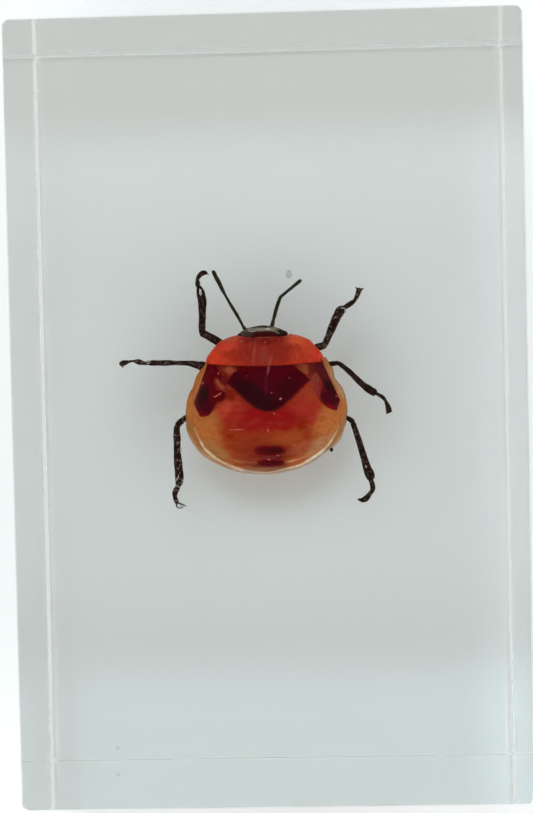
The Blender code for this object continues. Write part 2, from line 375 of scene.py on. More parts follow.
def veined(tree, under, colour, grain, squeeze=(1, 1, 1), most=0.3):
    # streaks of a colour over what lies under; squeeze draws them out along an axis
    place = addNode(tree, "TexCoord").outputs["Object"]
    drawn = addNode(tree, "VectorMath", {1: squeeze}, {0: place}, operation="MULTIPLY")
    clouds = addNode(
        tree, "TexNoise", {"Scale": 1 / (grain * mm), "Detail": 3.0}, {"Vector": drawn.outputs[0]}
    )
    return layWhere(tree, under, colour, clouds.outputs["Fac"], 0.45, 0.7, most)


def unevenBorder(tree, place, grain, reach):
    # noise that pushes a plate's border in and out, by up to reach
    clouds = addNode(tree, "TexNoise", {"Scale": 1 / (grain * mm), "Detail": 3.0}, {"Vector": place})
    pushed = addNode(
        tree, "MapRange", {"To Min": -reach, "To Max": reach}, {"Value": clouds.outputs["Fac"]}
    )
    return pushed.outputs["Result"]


def cuticle(material, colour, grain=0.12, depth=0.01, roughness=0.4, scatter=None):
    # wetted by the resin, whose index is nearly its own, so it hardly shines by itself
    tree = material.node_tree
    place = addNode(tree, "TexCoord").outputs["Object"]
    pits = addNode(tree, "TexVoronoi", {"Scale": 1 / (grain * mm)}, {"Vector": place})
    bump = addNode(
        tree, "Bump", {"Strength": 0.5, "Distance": depth * mm}, {"Height": pits.outputs["Distance"]}
    )
    values = {"Roughness": roughness, "IOR": wetIndex}
    if scatter:  # how much light goes in, and how far, in mm
        values["Subsurface Weight"] = scatter[0]
        values["Subsurface Scale"] = scatter[1] * mm
    return finishSurface(material, values, {"Base Color": colour, "Normal": bump.outputs["Normal"]})


# Trunk: back and belly of the abdomen, and what the plates lie on.
trunk = {
    "around": 128,
    "seams": (-0.75, -1.38, -1.98, -2.66, -3.04),  # where the abdomen's rings meet, on the midline
    "seamCurve": 0.03,
    "seamDepth": 0.015,
    "seamWidth": 0.07,
    "seamEnds": (0.05, 0.3),  # where it fades, near the sides
    "seamShade": 0.14,
    "bellySeams": (2.6, 1.2, 0.0, -0.7, -1.4, -2.0, -2.6),
    "bellySeamDepth": 0.05,
    "bellySeamShade": 0.6,
}


def abdomenCuticle():
    # Soft insect cuticle, grown, not hardened: amber at the sides, red where the gut shows
    # through, with two dark bars over the scent glands.
    material, tree = newMaterial("softCuticleAmber")
    place = wobbledPlace(tree, 0.8, 0.7)
    colour = mottled(tree, "#c56e36", "#d77e44", 0.9)
    colour = patches(tree, colour, place, (
        ("#b13c1a", (-0.55, -1.3), (3.05, 2.2), 0, 1.0, 0.75),
        ("#b93722", (-0.35, 0.3), (3.45, 1.25), 0, 1.0, 0.8),
        ("#ac161a", (-0.25, -0.45), (2.3, 0.8), 0, 1.0, 0.9),
        ("#c23227", (-2.4, -0.15), (0.7, 0.6), 20, 0.8),
        ("#d14b35", (-2.85, 0.1), (0.5, 0.5), 30, 0.8),
        ("#c1362a", (2.3, -0.1), (0.9, 0.7), -20, 0.9),
        ("#8c1f0f", (-2.45, 0.95), (0.5, 0.35), 40, 0.8),
        ("#b63f29", (2.1, 1.1), (0.7, 0.5), -40, 0.85),
        ("#bb5427", (1.25, -1.55), (1.3, 0.45), 10, 0.85),
        ("#9f3a1a", (-1.1, -2.1), (1.5, 0.5), 0, 0.8),
        ("#bb5f3a", (1.75, -2.3), (1.0, 0.35), 25, 0.9),
        ("#a7220a", (1.75, -0.85), (0.3, 0.45), -20, 0.8, 1.1),
        ("#a02d11", (2.15, -1.45), (0.3, 0.4), -40, 0.7, 1.1),
        ("#982507", (-2.35, -1.5), (0.17, 0.2), 0, 0.8, 1.1),
        ("#ce7a3d", (-4.0, -0.95), (0.95, 1.8), 14, 0.9, 0.9),
        ("#d67c40", (3.5, -0.8), (0.85, 1.6), -18, 0.9, 0.9),
        ("#bb8049", (-3.25, -2.4), (0.95, 0.35), -38, 0.9),
        ("#cf9264", (2.8, -2.1), (1.05, 0.38), 42, 0.95),
        ("#912518", (-0.14, -2.42), (1.3, 0.5), 0, 0.8, 1.2),
        ("#761b21", (-0.14, -2.85), (1.1, 0.42), 0, 0.95, 0.9),
        ("#983a1d", (-1.35, -2.88), (0.8, 0.14), -6, 0.9),
        ("#b6583b", (-1.5, -3.05), (0.6, 0.06), -8, 0.8),
        ("#8c3711", (0.95, -2.85), (0.45, 0.09), 12, 0.8),
        ("#69271d", (-0.15, -3.38), (0.95, 0.2), 0, 0.95),
    ))
    colour = veined(tree, colour, "#8c1f10", 0.28, (0.6, 1.2, 1), 0.3)
    colour = veined(tree, colour, "#cc6a3c", 0.4, (0.6, 1.2, 1), 0.12)
    straight = wobbledPlace(tree, 0.4, 0.08)
    colour = patches(tree, colour, straight, (
        ("#ecb687", (1.17, -3.03), (0.26, 0.06), 14, 0.8),
        ("#d49c69", (1.62, -2.91), (0.3, 0.05), 18, 0.7),
        ("#d49664", (-2.0, -3.05), (0.5, 0.05), -20, 0.4),
        ("#8a3f27", (-1.4, -3.22), (0.75, 0.09), -4, 0.85),
        ("#622217", (-0.3, -3.3), (0.85, 0.12), 0, 0.8),
        ("#a26c50", (-0.35, -3.55), (2.0, 0.17), 0, 0.85),
    ), soft=1.2)
    seam = addNode(tree, "Attribute", attribute_name="seam")
    faint = addNode(tree, "Math", {1: trunk["seamShade"]}, {0: seam.outputs["Fac"]}, operation="MULTIPLY")
    colour = layOver(tree, colour, "#95502a", faint.outputs[0])
    below = addNode(tree, "Attribute", attribute_name="belly")
    colour = layOver(tree, colour, "#be733a", below.outputs["Fac"])
    return cuticle(material, colour, scatter=(0.25, 0.4))


def makeTrunk():
    bm = bmesh.new()
    seam = bm.verts.layers.float.new("seam")
    belly = bm.verts.layers.float.new("belly")
    made = bmesh.ops.create_uvsphere(
        bm, u_segments=trunk["around"], v_segments=len(trunkRings) - 1, radius=1.0
    )["verts"]
    for vert in made:
        polar = math.acos(max(-1.0, min(1.0, vert.co.z)))
        y, halfWidth, above, below = trunkRings[round(polar / math.pi * (len(trunkRings) - 1))]
        flat = max(math.hypot(vert.co.x, vert.co.y), 1e-9)
        out, up = vert.co.x / flat, vert.co.y / flat
        if polar < 1e-4 or polar > math.pi - 1e-4:
            halfWidth = above = below = 0.0
        shift = halfWidth * out
        seams, depth = (
            (trunk["seams"], trunk["seamDepth"]) if up > 0
            else (trunk["bellySeams"], trunk["bellySeamDepth"])
        )
        line = max(hump(y - s - trunk["seamCurve"] * shift ** 2, trunk["seamWidth"]) for s in seams)
        line *= fade(abs(up), *trunk["seamEnds"])
        vert[seam] = line if up > 0 else trunk["bellySeamShade"] * line
        vert[belly] = fade(-up, 0.0, 0.3)
        grown = 1 - line * depth / max(above, 0.3)
        vert.co = (bug["axis"] + shift, y, bug["level"] + (above if up > 0 else below) * up * grown)
    finishPiece(bm, "bugTrunk", abdomenCuticle(), replaced=("insect",))
    print("trunk done")


# Thin margin round the abdomen, and the cream ridge that borders the back.
margin = {
    "outline": [  # place, and half width there
        (-3.55, 3.15, 0.2), (-4.04, 2.6, 0.3), (-4.25, 2.3, 0.34), (-4.45, 2.0, 0.38), (-4.65, 1.4, 0.42),
        (-4.84, 1.1, 0.45), (-5.02, 0.62, 0.5), (-5.09, 0.08, 0.5), (-5.12, -0.36, 0.5),
        (-5.12, -0.89, 0.5), (-5.05, -1.28, 0.5), (-4.91, -1.63, 0.5), (-4.74, -1.93, 0.5),
        (-4.54, -2.26, 0.48), (-4.3, -2.56, 0.45), (-4.02, -2.79, 0.42), (-3.62, -3.03, 0.38),
        (-3.21, -3.24, 0.36), (-2.77, -3.44, 0.34), (-2.33, -3.6, 0.32), (-1.8, -3.74, 0.32),
        (-1.16, -3.83, 0.32), (-0.45, -3.86, 0.32), (0.31, -3.81, 0.32), (0.96, -3.69, 0.32),
        (1.45, -3.57, 0.33), (1.83, -3.43, 0.34), (2.2, -3.26, 0.36), (2.55, -3.04, 0.38),
        (2.92, -2.78, 0.4), (3.31, -2.52, 0.42), (3.67, -2.25, 0.44), (3.97, -1.92, 0.46),
        (4.14, -1.6, 0.46), (4.27, -1.2, 0.46), (4.38, -0.85, 0.46), (4.44, -0.4, 0.45),
        (4.45, 0.05, 0.45), (4.36, 0.68, 0.42), (4.19, 1.17, 0.4), (3.95, 1.5, 0.36), (3.76, 1.76, 0.34),
        (3.69, 2.1, 0.32), (3.6, 2.44, 0.3), (3.2, 3.05, 0.2),
    ],
    "halfThickness": 0.1,
    "lean": 36,  # degrees, its outer edge down
    "lip": {  # how solid the outermost edge is, and how that changes round the bug
        "solid": 0.6, "lessAtTail": 0.4, "tail": (-1.0, 3.2), "width": 0.14, "widerAtTail": 0.2,
        "moreAtLeft": 0.17, "left": (3.2, 4.2), "leftEnds": (-0.2, 0.8),
        "blotch": (-3.1, -3.3), "blotchMore": (0.3, 0.45),
    },
    "ridgeLift": 0.3,  # at least so far over the bug's level
    "ridgeWaver": 0.25,
    "ridgeFlatness": 0.6,
    "ridge": [  # place, and half width there
        (-4.59, -1.01, 0.06), (-4.46, -1.25, 0.067), (-4.33, -1.52, 0.074), (-4.23, -1.74, 0.09),
        (-4.12, -1.97, 0.113), (-3.97, -2.21, 0.12), (-3.79, -2.42, 0.097), (-3.57, -2.63, 0.097),
        (-3.33, -2.83, 0.106), (-3.05, -3.01, 0.075), (-2.75, -3.17, 0.075), (-2.43, -3.31, 0.094),
        (-2.14, -3.42, 0.094), (-1.85, -3.51, 0.081), (-1.48, -3.6, 0.063), (-1.06, -3.67, 0.063),
        (-0.6, -3.69, 0.063), (-0.12, -3.66, 0.058), (0.45, -3.56, 0.053), (1.03, -3.42, 0.078),
        (1.5, -3.3, 0.104), (1.85, -3.14, 0.117), (2.14, -2.97, 0.124), (2.43, -2.78, 0.13),
        (2.68, -2.62, 0.13), (2.93, -2.44, 0.111), (3.16, -2.24, 0.098), (3.35, -2.02, 0.091),
        (3.52, -1.76, 0.085), (3.69, -1.47, 0.072), (3.82, -1.23, 0.058), (3.92, -1.02, 0.046),
    ],
}


def marginCuticle():
    # Soft cuticle of the abdomen's edge: amber like the back, thinning to a lip that is partly
    # clear, so that the pale ground shows through, most of all at the tail.
    material, tree = newMaterial("thinCuticleTranslucent")
    place = wobbledPlace(tree, 0.6, 0.4)
    colour = mottled(tree, "#c07a46", "#d48f5a", 0.4)
    colour = patches(tree, colour, place, (
        ("#d17b3e", (-4.45, 1.9), (0.45, 0.8), -20, 0.9, 0.9),
        ("#bf5f30", (-4.65, 1.2), (0.3, 0.3), 0, 0.7),
        ("#d68344", (-4.95, 0.1), (0.5, 0.9), 0, 0.9, 0.9),
        ("#d8a87c", (4.0, 1.6), (0.45, 1.1), 20, 0.9, 0.9),
        ("#d57e4b", (4.35, 0.1), (0.4, 0.5), 0, 0.9, 0.9),
        ("#d4a57b", (4.3, 1.1), (0.35, 0.5), 0, 0.9),
        ("#b87b43", (-4.95, -1.1), (0.35, 0.7), 14, 0.9),
        ("#c37742", (-4.5, -2.0), (0.35, 0.5), 30, 0.8),
        ("#c79b58", (-3.95, -2.75), (0.6, 0.3), -40, 0.9),
        ("#b4864e", (-0.4, -3.8), (3.2, 0.45), 0, 0.9, 0.6),
        ("#bd9464", (3.2, -2.6), (0.9, 0.4), 38, 0.9, 0.9),
        ("#c88757", (4.2, -1.3), (0.35, 0.8), -18, 0.9),
    ))
    colour = veined(tree, colour, "#8a4a1c", 0.2, (1, 1, 1), 0.35)
    solid = addNode(tree, "Attribute", attribute_name="solid")
    lip = addNode(
        tree, "MapRange", {"From Min": 1.0, "From Max": 0.4, "To Max": 0.8},
        {"Value": solid.outputs["Fac"]},
    )
    colour = layOver(tree, colour, "#d7954b", lip.outputs["Result"])
    return finishSurface(
        material,
        {"Roughness": 0.5, "IOR": wetIndex, "Subsurface Weight": 0.3, "Subsurface Scale": 0.3 * mm},
        {"Base Color": colour, "Alpha": solid.outputs["Fac"]},
    )


def ridgeCuticle():
    # The hardened ridge of the same cuticle: cream, duller towards its ends.
    material, tree = newMaterial("ridgeCuticleCream")
    place = wobbledPlace(tree, 0.4, 0.2)
    colour = mottled(tree, "#e9c393", "#ffecd2", 0.4)
    colour = patches(tree, colour, place, (
        ("#d4ba9e", (-0.5, -3.7), (1.5, 0.5)),
        ("#d1a069", (-4.5, -1.2), (0.5, 0.7)),
        ("#d6a573", (3.85, -1.2), (0.4, 0.5)),
    ), most=0.9)
    return cuticle(material, colour, grain=0.06, scatter=(0.2, 0.1))


def makeMargin():
    outline = smoothPath(margin["outline"], 4)
    lean = math.radians(margin["lean"])
    stations = []
    for i, (x, y, reach) in enumerate(outline):
        ahead = outline[min(i + 1, len(outline) - 1)]
        behind = outline[max(i - 1, 0)]
        # the path runs with the trunk on its left hand
        inward = Vector((behind[1] - ahead[1], ahead[0] - behind[0])).normalized()
        share = fade(min(i, len(outline) - 1 - i), -3, 6)
        across, rise = reach * math.cos(lean), reach * math.sin(lean)
        stations.append((
            (x + inward.x * across, y + inward.y * across, bug["level"] - 0.1 + rise),
            reach, margin["halfThickness"] * share,
        ))
    bm = bmesh.new()
    sweep(bm, stations, sides=24, lean=lean)
    edge = [(x, y) for x, y, _ in outline]
    lip = margin["lip"]

    def solid(x, y, z):
        tail = fade(-y, *lip["tail"])
        least = lip["solid"] - lip["lessAtTail"] * tail
        least += lip["moreAtLeft"] * fade(-x, *lip["left"]) * fade(y, *lip["leftEnds"])
        least += relief(lip, "blotchMore", math.dist((x, y), lip["blotch"]))
        width = lip["width"] + lip["widerAtTail"] * tail
        return least + (1 - least) * fade(insideBy(edge, x, y), -0.02, width)

    setAttribute(bm, "solid", solid)
    finishPiece(bm, "bugMargin", marginCuticle())
    bm = bmesh.new()
    stations = []
    for x, y, radius in smoothPath(margin["ridge"], 4):
        height = max(bug["level"] + margin["ridgeLift"], backHeight(x, y) + 0.01)
        waver = 1 + margin["ridgeWaver"] * noise.noise(Vector((x, y, 0)) * 4)
        stations.append(((x, y, height), radius * waver, margin["ridgeFlatness"] * radius * waver))
    sweep(bm, stations, sides=12)
    finishPiece(bm, "bugMarginRidge", ridgeCuticle())
    print("margin done")


def plateOnBack(size, place, height):
    # a thin closed plate: place(u, v) is where a point lies, from -1 to 1 across and along
    columns, rows = size["grid"]
    bm = bmesh.new()
    bmesh.ops.create_grid(bm, x_segments=columns, y_segments=rows, size=1.0)
    for vert in bm.verts:
        u, v = vert.co.x, vert.co.y
        x, y = place(u, v)
        vert.co = (bug["axis"] + x, y, height(u, v, x, y))
    grown = bmesh.ops.extrude_face_region(bm, geom=bm.faces[:])["geom"]
    under = only(bmesh.types.BMVert, grown)
    bmesh.ops.translate(bm, vec=(0, 0, -size["thickness"]), verts=under)
    return bm


# Pronotum, the wide orange plate behind the head.
pronotum = {
    "side": [  # how far forward, and half width there
        (4.45, 1.45), (4.3, 2.08), (4.2, 2.32), (4.05, 2.66), (3.85, 2.84), (3.55, 3.13), (3.15, 3.42),
        (2.8, 3.53), (2.5, 3.52),
    ],
    "hindEdge": 2.55,
    "hindCurve": 0.016,
    "frontDip": 0.22,
    "raise": 0.2,
    "thickness": 0.14,
    "grid": (110, 44),
    # low forms, each with its height or depth and its width
    "hindLip": (0.03, 0.10526),
    "sideLip": (0.04, 0.04),
    "midGroove": (0.02, 0.07),
    "dimples": (0.05, 0.35),
    "dimplePlace": (1.15, 3.85),
    # painted shade along the hind edge, where the plate steps down: how dark, and how wide
    "hindShade": (0.8, 0.06),
}


def pronotumCuticle():
    # Young shield-bug cuticle, orange, browner over the middle, with fine pale streaks; painted
    # shade along its hind edge, and in part where the head overlaps its front.
    material, tree = newMaterial("softCuticleOrange")
    place = wobbledPlace(tree, 0.5, 0.5)
    colour = mottled(tree, "#dc3e28", "#ea4a2f", 0.5)
    colour = patches(tree, colour, place, (
        ("#bd3521", (-0.3, 3.35), (2.4, 1.0), 0, 1.0, 0.7),
        ("#a72e21", (-0.4, 3.45), (1.55, 0.85), 0, 1.0, 0.8),
        ("#cf4129", (1.7, 3.15), (0.6, 0.5), 0, 0.8),
        ("#f46538", (1.55, 4.1), (0.8, 0.35), -15, 0.9, 0.9),
        ("#e5502f", (2.35, 3.6), (0.35, 0.6), 30, 0.7),
        ("#ec4935", (-2.5, 3.8), (0.6, 0.32), 25, 0.9, 0.9),
        ("#d45837", (-2.2, 4.2), (0.5, 0.2), 22, 0.9),
        ("#f14625", (-3.4, 3.0), (0.45, 0.6), -20, 0.9),
        ("#ec3c35", (2.75, 3.1), (0.25, 0.35), 0, 0.9),
        ("#f65835", (3.1, 3.0), (0.2, 0.5), 10, 0.8),
        # darker maroon at the front, where the head overlaps: partly its own colour, partly painted shade
        ("#82171a", (-0.35, 4.2), (1.35, 0.33), 0, 0.95, 0.9),
        ("#a7493a", (-0.35, 3.1), (0.3, 0.5), 0, 0.5, 1.2),
    ))
    colour = veined(tree, colour, "#7c1c10", 0.25, (1.6, 0.7, 1), 0.22)
    colour = veined(tree, colour, "#f0603c", 0.35, (1.4, 0.6, 1), 0.14)
    straight = wobbledPlace(tree, 0.4, 0.08)
    for oval in (
        ((-0.95, 3.3), (0.09, 0.75), -9, 0.22), ((0.0, 2.8), (0.08, 0.4), -16, 0.3),
        ((1.57, 3.1), (0.06, 0.25), 4, 0.2), ((-0.27, 3.95), (0.06, 0.05), 0, 0.4),
        ((-1.7, 4.02), (0.09, 0.05), 0, 0.35),
    ):
        colour = patch(tree, colour, straight, "#d4765c", *oval, soft=1.4)
    # painted shade along the hind edge, where the plate steps down onto the next
    edge = addNode(tree, "Attribute", attribute_name="hindEdgeShade")
    colour = layOver(tree, colour, "#872418", edge.outputs["Fac"])
    return cuticle(material, colour, scatter=(0.25, 0.3))


def pronotumHalfWidth(y):
    side = pronotum["side"]
    for front, rear in zip(side, side[1:]):
        if front[0] >= y >= rear[0]:
            t = (front[0] - y) / (front[0] - rear[0])
            return front[1] + t * (rear[1] - front[1])
    return side[0][1] if y > side[0][0] else side[-1][1]


def makePronotum():
    size = pronotum

    def place(u, v):
        hind = size["hindEdge"] + size["hindCurve"] * (3.6 * u) ** 2
        front = size["side"][0][0] - size["frontDip"] * (1 - u * u)
        y = hind + (front - hind) * (v + 1) / 2
        return u * pronotumHalfWidth(y), y

    def height(u, v, x, y):
        above = trunkAt(min(y, 4.3))[1] + size["raise"]
        lift = relief(size, "hindLip", v + 1) + relief(size, "sideLip", 1 - abs(u))
        fromDimple = math.dist((abs(x), y), size["dimplePlace"])
        dent = relief(size, "midGroove", x) + relief(size, "dimples", fromDimple)
        return bug["level"] + 0.03 + above * math.sqrt(max(0.0, 1 - u * u)) + lift - dent

    bm = plateOnBack(size, place, height)
    setAttribute(bm, "hindEdgeShade", lambda x, y, z: relief(
        size, "hindShade", y - size["hindEdge"] - size["hindCurve"] * (x - bug["axis"]) ** 2
    ))
    finishPiece(bm, "bugPronotum", pronotumCuticle())
    print("pronotum done")


# Scutellum with a wing pad on each side, one plate.
saddle = {
    # hind edge, from the tip of the scutellum out to the wing pad
    "hindRight": [
        (-0.25, -0.1), (0.28, -0.04), (0.62, 0.12), (0.91, 0.31), (1.24, 0.59), (1.57, 0.91), (1.9, 1.23),
        (2.16, 1.46), (2.4, 1.22), (2.62, 0.9), (2.84, 0.6), (3.0, 0.36), (3.22, 0.13), (3.48, -0.03),
        (3.8, -0.12), (3.92, 0.13), (4.02, 0.46),
    ],
    "hindLeft": [
        (-0.25, -0.1), (-0.66, 0.0), (-1.0, 0.15), (-1.32, 0.33), (-1.6, 0.58), (-1.87, 0.88),
        (-2.16, 1.14), (-2.44, 1.36), (-2.58, 1.12), (-2.64, 0.88), (-2.72, 0.68), (-3.12, 0.48),
        (-3.26, 0.28), (-3.47, -0.04), (-3.74, -0.27), (-4.16, -0.33), (-4.3, -0.12), (-4.46, 0.2),
        (-4.58, 0.48),
    ],
    "front": 3.0,
    "frontHalfWidth": 3.27,
    "raise": 0.12,
    "thickness": 0.1,
    "grid": (200, 56),
    "darkEdge": (-0.25, -0.03),  # the dark fields stand higher from here on
    "paleDrop": 0.07,
    "bodySwell": 0.1,
    "padSwell": 0.08,
    "rim": (0.02, 0.05),
    "leastHeight": 0.7,
    "scutellum": [  # what is dark on the scutellum
        (-1.75, 2.5), (-1.9, 2.36), (-2.16, 2.22), (-2.3, 2.0), (-2.49, 1.83), (-2.62, 1.63),
        (-2.44, 1.46), (-2.13, 1.25), (-1.82, 1.0), (-1.55, 0.68), (-1.27, 0.43), (-0.96, 0.23),
        (-0.55, 0.04), (-0.24, -0.05), (0.28, 0.03), (0.59, 0.19), (0.87, 0.39), (1.2, 0.68), (1.53, 1.0),
        (1.86, 1.31), (2.16, 1.53), (2.3, 1.7), (2.11, 1.9), (1.95, 2.14), (1.63, 2.34), (1.36, 2.55),
        (1.3, 3.0), (-1.75, 3.0),
    ],
    "padRight": [  # what is dark on a wing pad
        (2.55, 2.71), (2.9, 3.0), (3.2, 2.8), (3.25, 2.27), (3.4, 1.9), (3.53, 1.63), (3.72, 1.33),
        (3.9, 1.0), (4.05, 0.73), (4.05, 0.43), (3.92, 0.1), (3.82, -0.12), (3.48, -0.02), (3.22, 0.13),
        (3.0, 0.38), (2.87, 0.71), (2.91, 1.04), (3.02, 1.29), (2.96, 1.65), (2.8, 1.98), (2.58, 2.32),
    ],
    "padLeft": [
        (-3.78, 2.8), (-3.88, 2.25), (-4.08, 1.93), (-4.16, 1.47), (-4.25, 1.21), (-4.44, 0.83),
        (-4.6, 0.48), (-4.46, 0.17), (-4.3, -0.12), (-4.16, -0.33), (-3.74, -0.27), (-3.47, -0.03),
        (-3.26, 0.3), (-3.12, 0.5), (-2.86, 0.6), (-2.62, 0.75), (-2.66, 1.05), (-2.91, 1.2),
        (-3.18, 1.29), (-3.3, 1.58), (-3.29, 1.93), (-3.03, 1.81), (-2.8, 1.56), (-2.55, 1.48),
        (-2.5, 1.75), (-2.64, 1.9), (-2.85, 2.1), (-3.1, 2.5), (-3.3, 2.8),
    ],
}


def saddleCuticle():
    # Hardened cuticle of scutellum and wing pads: maroon, nearly black where it is thick,
    # with thin red brown parts between, and a violet sheen painted as a line down the middle.
    material, tree = newMaterial("hardCuticleMaroon")
    colour = mottled(tree, "#8c2418", "#a23626", 0.3)
    place = wobbledPlace(tree, 0.3, 0.25)
    colour = patches(tree, colour, place, (
        ("#c25b3d", (-2.38, 2.36), (0.36, 0.22), 0, 1.0, 0.9),
        ("#821f0a", (-2.75, 2.15), (0.16, 0.2), 0, 0.8),
        ("#b95733", (1.93, 2.33), (0.48, 0.28), 0, 1.0, 0.9),
        ("#78221d", (2.42, 2.35), (0.25, 0.35), 0, 0.9),
        ("#bd553c", (-3.0, 1.57), (0.15, 0.36), 37, 1.0, 0.9),
        ("#a24a3b", (2.6, 1.72), (0.2, 0.38), -5, 0.9, 1.1),
        ("#b9412a", (2.4, 1.22), (0.42, 0.3), -50, 0.85),
        ("#aa3722", (-2.3, 1.4), (0.3, 0.2), 50, 0.7),
        ("#a63634", (2.64, 1.05), (0.24, 0.45), 0, 0.9),
    ))
    uneven = unevenBorder(tree, place, 0.2, 0.1)
    for field, shade, low, high in (
        ("scutellum", "#580314", -0.03, 0.05), ("padLeft", "#690311", -0.06, 0.08),
        ("padRight", "#67111d", -0.08, 0.1),
    ):
        inside = addNode(tree, "Attribute", attribute_name=field)
        moved = addNode(tree, "Math", links={0: inside.outputs["Fac"], 1: uneven}, operation="ADD")
        colour = layWhere(tree, colour, shade, moved.outputs[0], low, high)
    colour = patches(tree, colour, place, (
        ("#35080e", (-1.05, 0.95), (1.45, 0.5), -38, 0.95, 0.9),
        ("#370a0f", (-0.2, 0.35), (0.8, 0.45), 0, 0.9),
        ("#460712", (0.8, 1.1), (0.85, 0.5), 35, 0.8),
        ("#69020c", (-1.3, 2.45), (0.7, 0.22), 0, 0.8),
        ("#640717", (0.9, 2.35), (0.8, 0.25), 0, 0.8),
        ("#350e0a", (-3.98, 0.86), (0.33, 0.7), -20, 1.0, 0.8),
        ("#4b0217", (-3.85, 0.28), (0.36, 0.4), 0, 0.85),
        ("#780211", (-3.9, -0.2), (0.4, 0.12), -8, 0.8),
        ("#350f0e", (3.46, 1.22), (0.24, 0.52), 34, 1.0, 0.9),
        ("#4e0217", (3.42, 0.6), (0.5, 0.48), 0, 0.85),
        ("#9b0214", (3.3, 0.14), (0.42, 0.13), -18, 0.8),
        ("#691d21", (2.95, 2.35), (0.3, 0.6), 24, 0.8),
        ("#781a1a", (-2.7, 1.8), (0.2, 0.32), -35, 0.9),
    ))
    colour = veined(tree, colour, "#26070c", 0.18, (1, 1, 1), 0.35)
    straight = wobbledPlace(tree, 0.4, 0.08)
    # the first two rows, the violet line down the middle: painted sheen
    colour = patches(tree, colour, straight, (
        ("#af4b4e", (-0.1, 2.42), (0.07, 0.36), -12, 0.9),
        ("#690a2f", (-0.26, 1.6), (0.08, 0.75), 0, 0.5),
        ("#823246", (-1.35, 2.02), (0.06, 0.04), 0, 0.7),
        ("#823f4b", (1.09, 1.86), (0.05, 0.07), 0, 0.7),
    ), soft=1.2)
    return cuticle(material, colour, grain=0.09, scatter=(0.1, 0.15))


def makeSaddle():
    size = saddle
    edges = {-1: smoothPath(size["hindLeft"], 8), 1: smoothPath(size["hindRight"], 8)}

    def place(u, v):
        side = -1 if u < 0 else 1
        edge = edges[side]
        step = min(abs(u), 1.0) * (len(edge) - 1)
        i = min(int(step), len(edge) - 2)
        hind = [a + (step - i) * (b - a) for a, b in zip(edge[i], edge[i + 1])]
        front = u * size["frontHalfWidth"] + bug["axis"]
        t = (v + 1) / 2
        return hind[0] + t * (front - hind[0]) - bug["axis"], hind[1] + t * (size["front"] - hind[1])

    def height(u, v, x, y):
        place = bug["axis"] + x
        body, left, right = (
            insideBy(size[field], place, y) for field in ("scutellum", "padLeft", "padRight")
        )
        dark = fade(max(body, left, right), *size["darkEdge"])
        swell = size["bodySwell"] * fade(body, -0.2, 0.7)
        swell += size["padSwell"] * fade(max(left, right), -0.2, 0.4)
        raised = size["raise"] - size["paleDrop"] + relief(size, "rim", v + 1)
        ground = max(backHeight(place, y), bug["level"] + size["leastHeight"])
        return ground + 0.02 + raised * dark + swell

    bm = plateOnBack(size, place, height)
    for field in ("scutellum", "padLeft", "padRight"):
        setAttribute(bm, field, lambda x, y, z: insideBy(size[field], x, y))
    finishPiece(bm, "bugScutellumAndPads", saddleCuticle())
    print("scutellum and wing pads done")


# The two dark bars on the abdomen, over the scent glands.
glands = {
    "plates": [
        {"centre": (-0.14, -2.4), "halfWidth": 1.04, "halfLength": 0.34, "height": 0.05},
        {"centre": (-0.12, -3.14), "halfWidth": 0.88, "halfLength": 0.26, "height": 0.04},
    ],
    "bow": 0.03,
    "squareness": 0.97,
    "sunk": 0.03,
    "thickness": 0.06,
    "grid": (48, 16),
}


def glandCuticle():
    # Hard, dark plate over a scent gland: maroon black, thin and red at its ragged border,
    # each with two darker halves.
    material, tree = newMaterial("hardCuticleGland")
    place = wobbledPlace(tree, 0.2, 0.2)
    colour = mottled(tree, "#5c030c", "#761216", 0.2)
    for oval in (
        ((0.35, -2.4), (0.45, 0.2), 0, 0.7), ((-0.3, -2.4), (0.3, 0.18), 0, 0.4),
        ((0.3, -3.15), (0.35, 0.14), 0, 0.5), ((-0.4, -3.15), (0.4, 0.14), 0, 0.5),
    ):
        colour = patch(tree, colour, place, "#3c0206", *oval, soft=1.1)
    border = addNode(tree, "Attribute", attribute_name="border")
    uneven = unevenBorder(tree, place, 0.16, 0.35)
    moved = addNode(tree, "Math", links={0: border.outputs["Fac"], 1: uneven}, operation="ADD")
    for shade, low, high in (("#841a18", 0.65, 1.0), ("#91251a", 0.8, 1.1)):
        colour = layWhere(tree, colour, shade, moved.outputs[0], low, high)
    return cuticle(material, colour, grain=0.07)


def makeGlands():
    material = glandCuticle()
    for number, size in enumerate(glands["plates"]):
        middleX, middleY = size["centre"]

        def bowedMiddle(x):
            return middleY + glands["bow"] * (x - middleX) ** 2

        def border(x, y, z):
            across, along = (x - middleX) / size["halfWidth"], (y - bowedMiddle(x)) / size["halfLength"]
            return math.hypot(across, along)

        def place(u, v):
            x = middleX + u * size["halfWidth"]
            reach = size["halfLength"] * math.sqrt(max(0.0, 1 - glands["squareness"] * u ** 4))
            return x - bug["axis"], bowedMiddle(x) + v * reach

        def height(u, v, x, y):
            swell = (1 - u ** 4) * (1 - v ** 4)
            sunk = glands["sunk"]
            return backHeight(bug["axis"] + x, y) - sunk + (sunk + size["height"]) * swell

        bm = plateOnBack(glands, place, height)
        setAttribute(bm, "border", border)
        finishPiece(bm, f"bugGlandPlate{number + 1}", material)
    print("gland plates done")


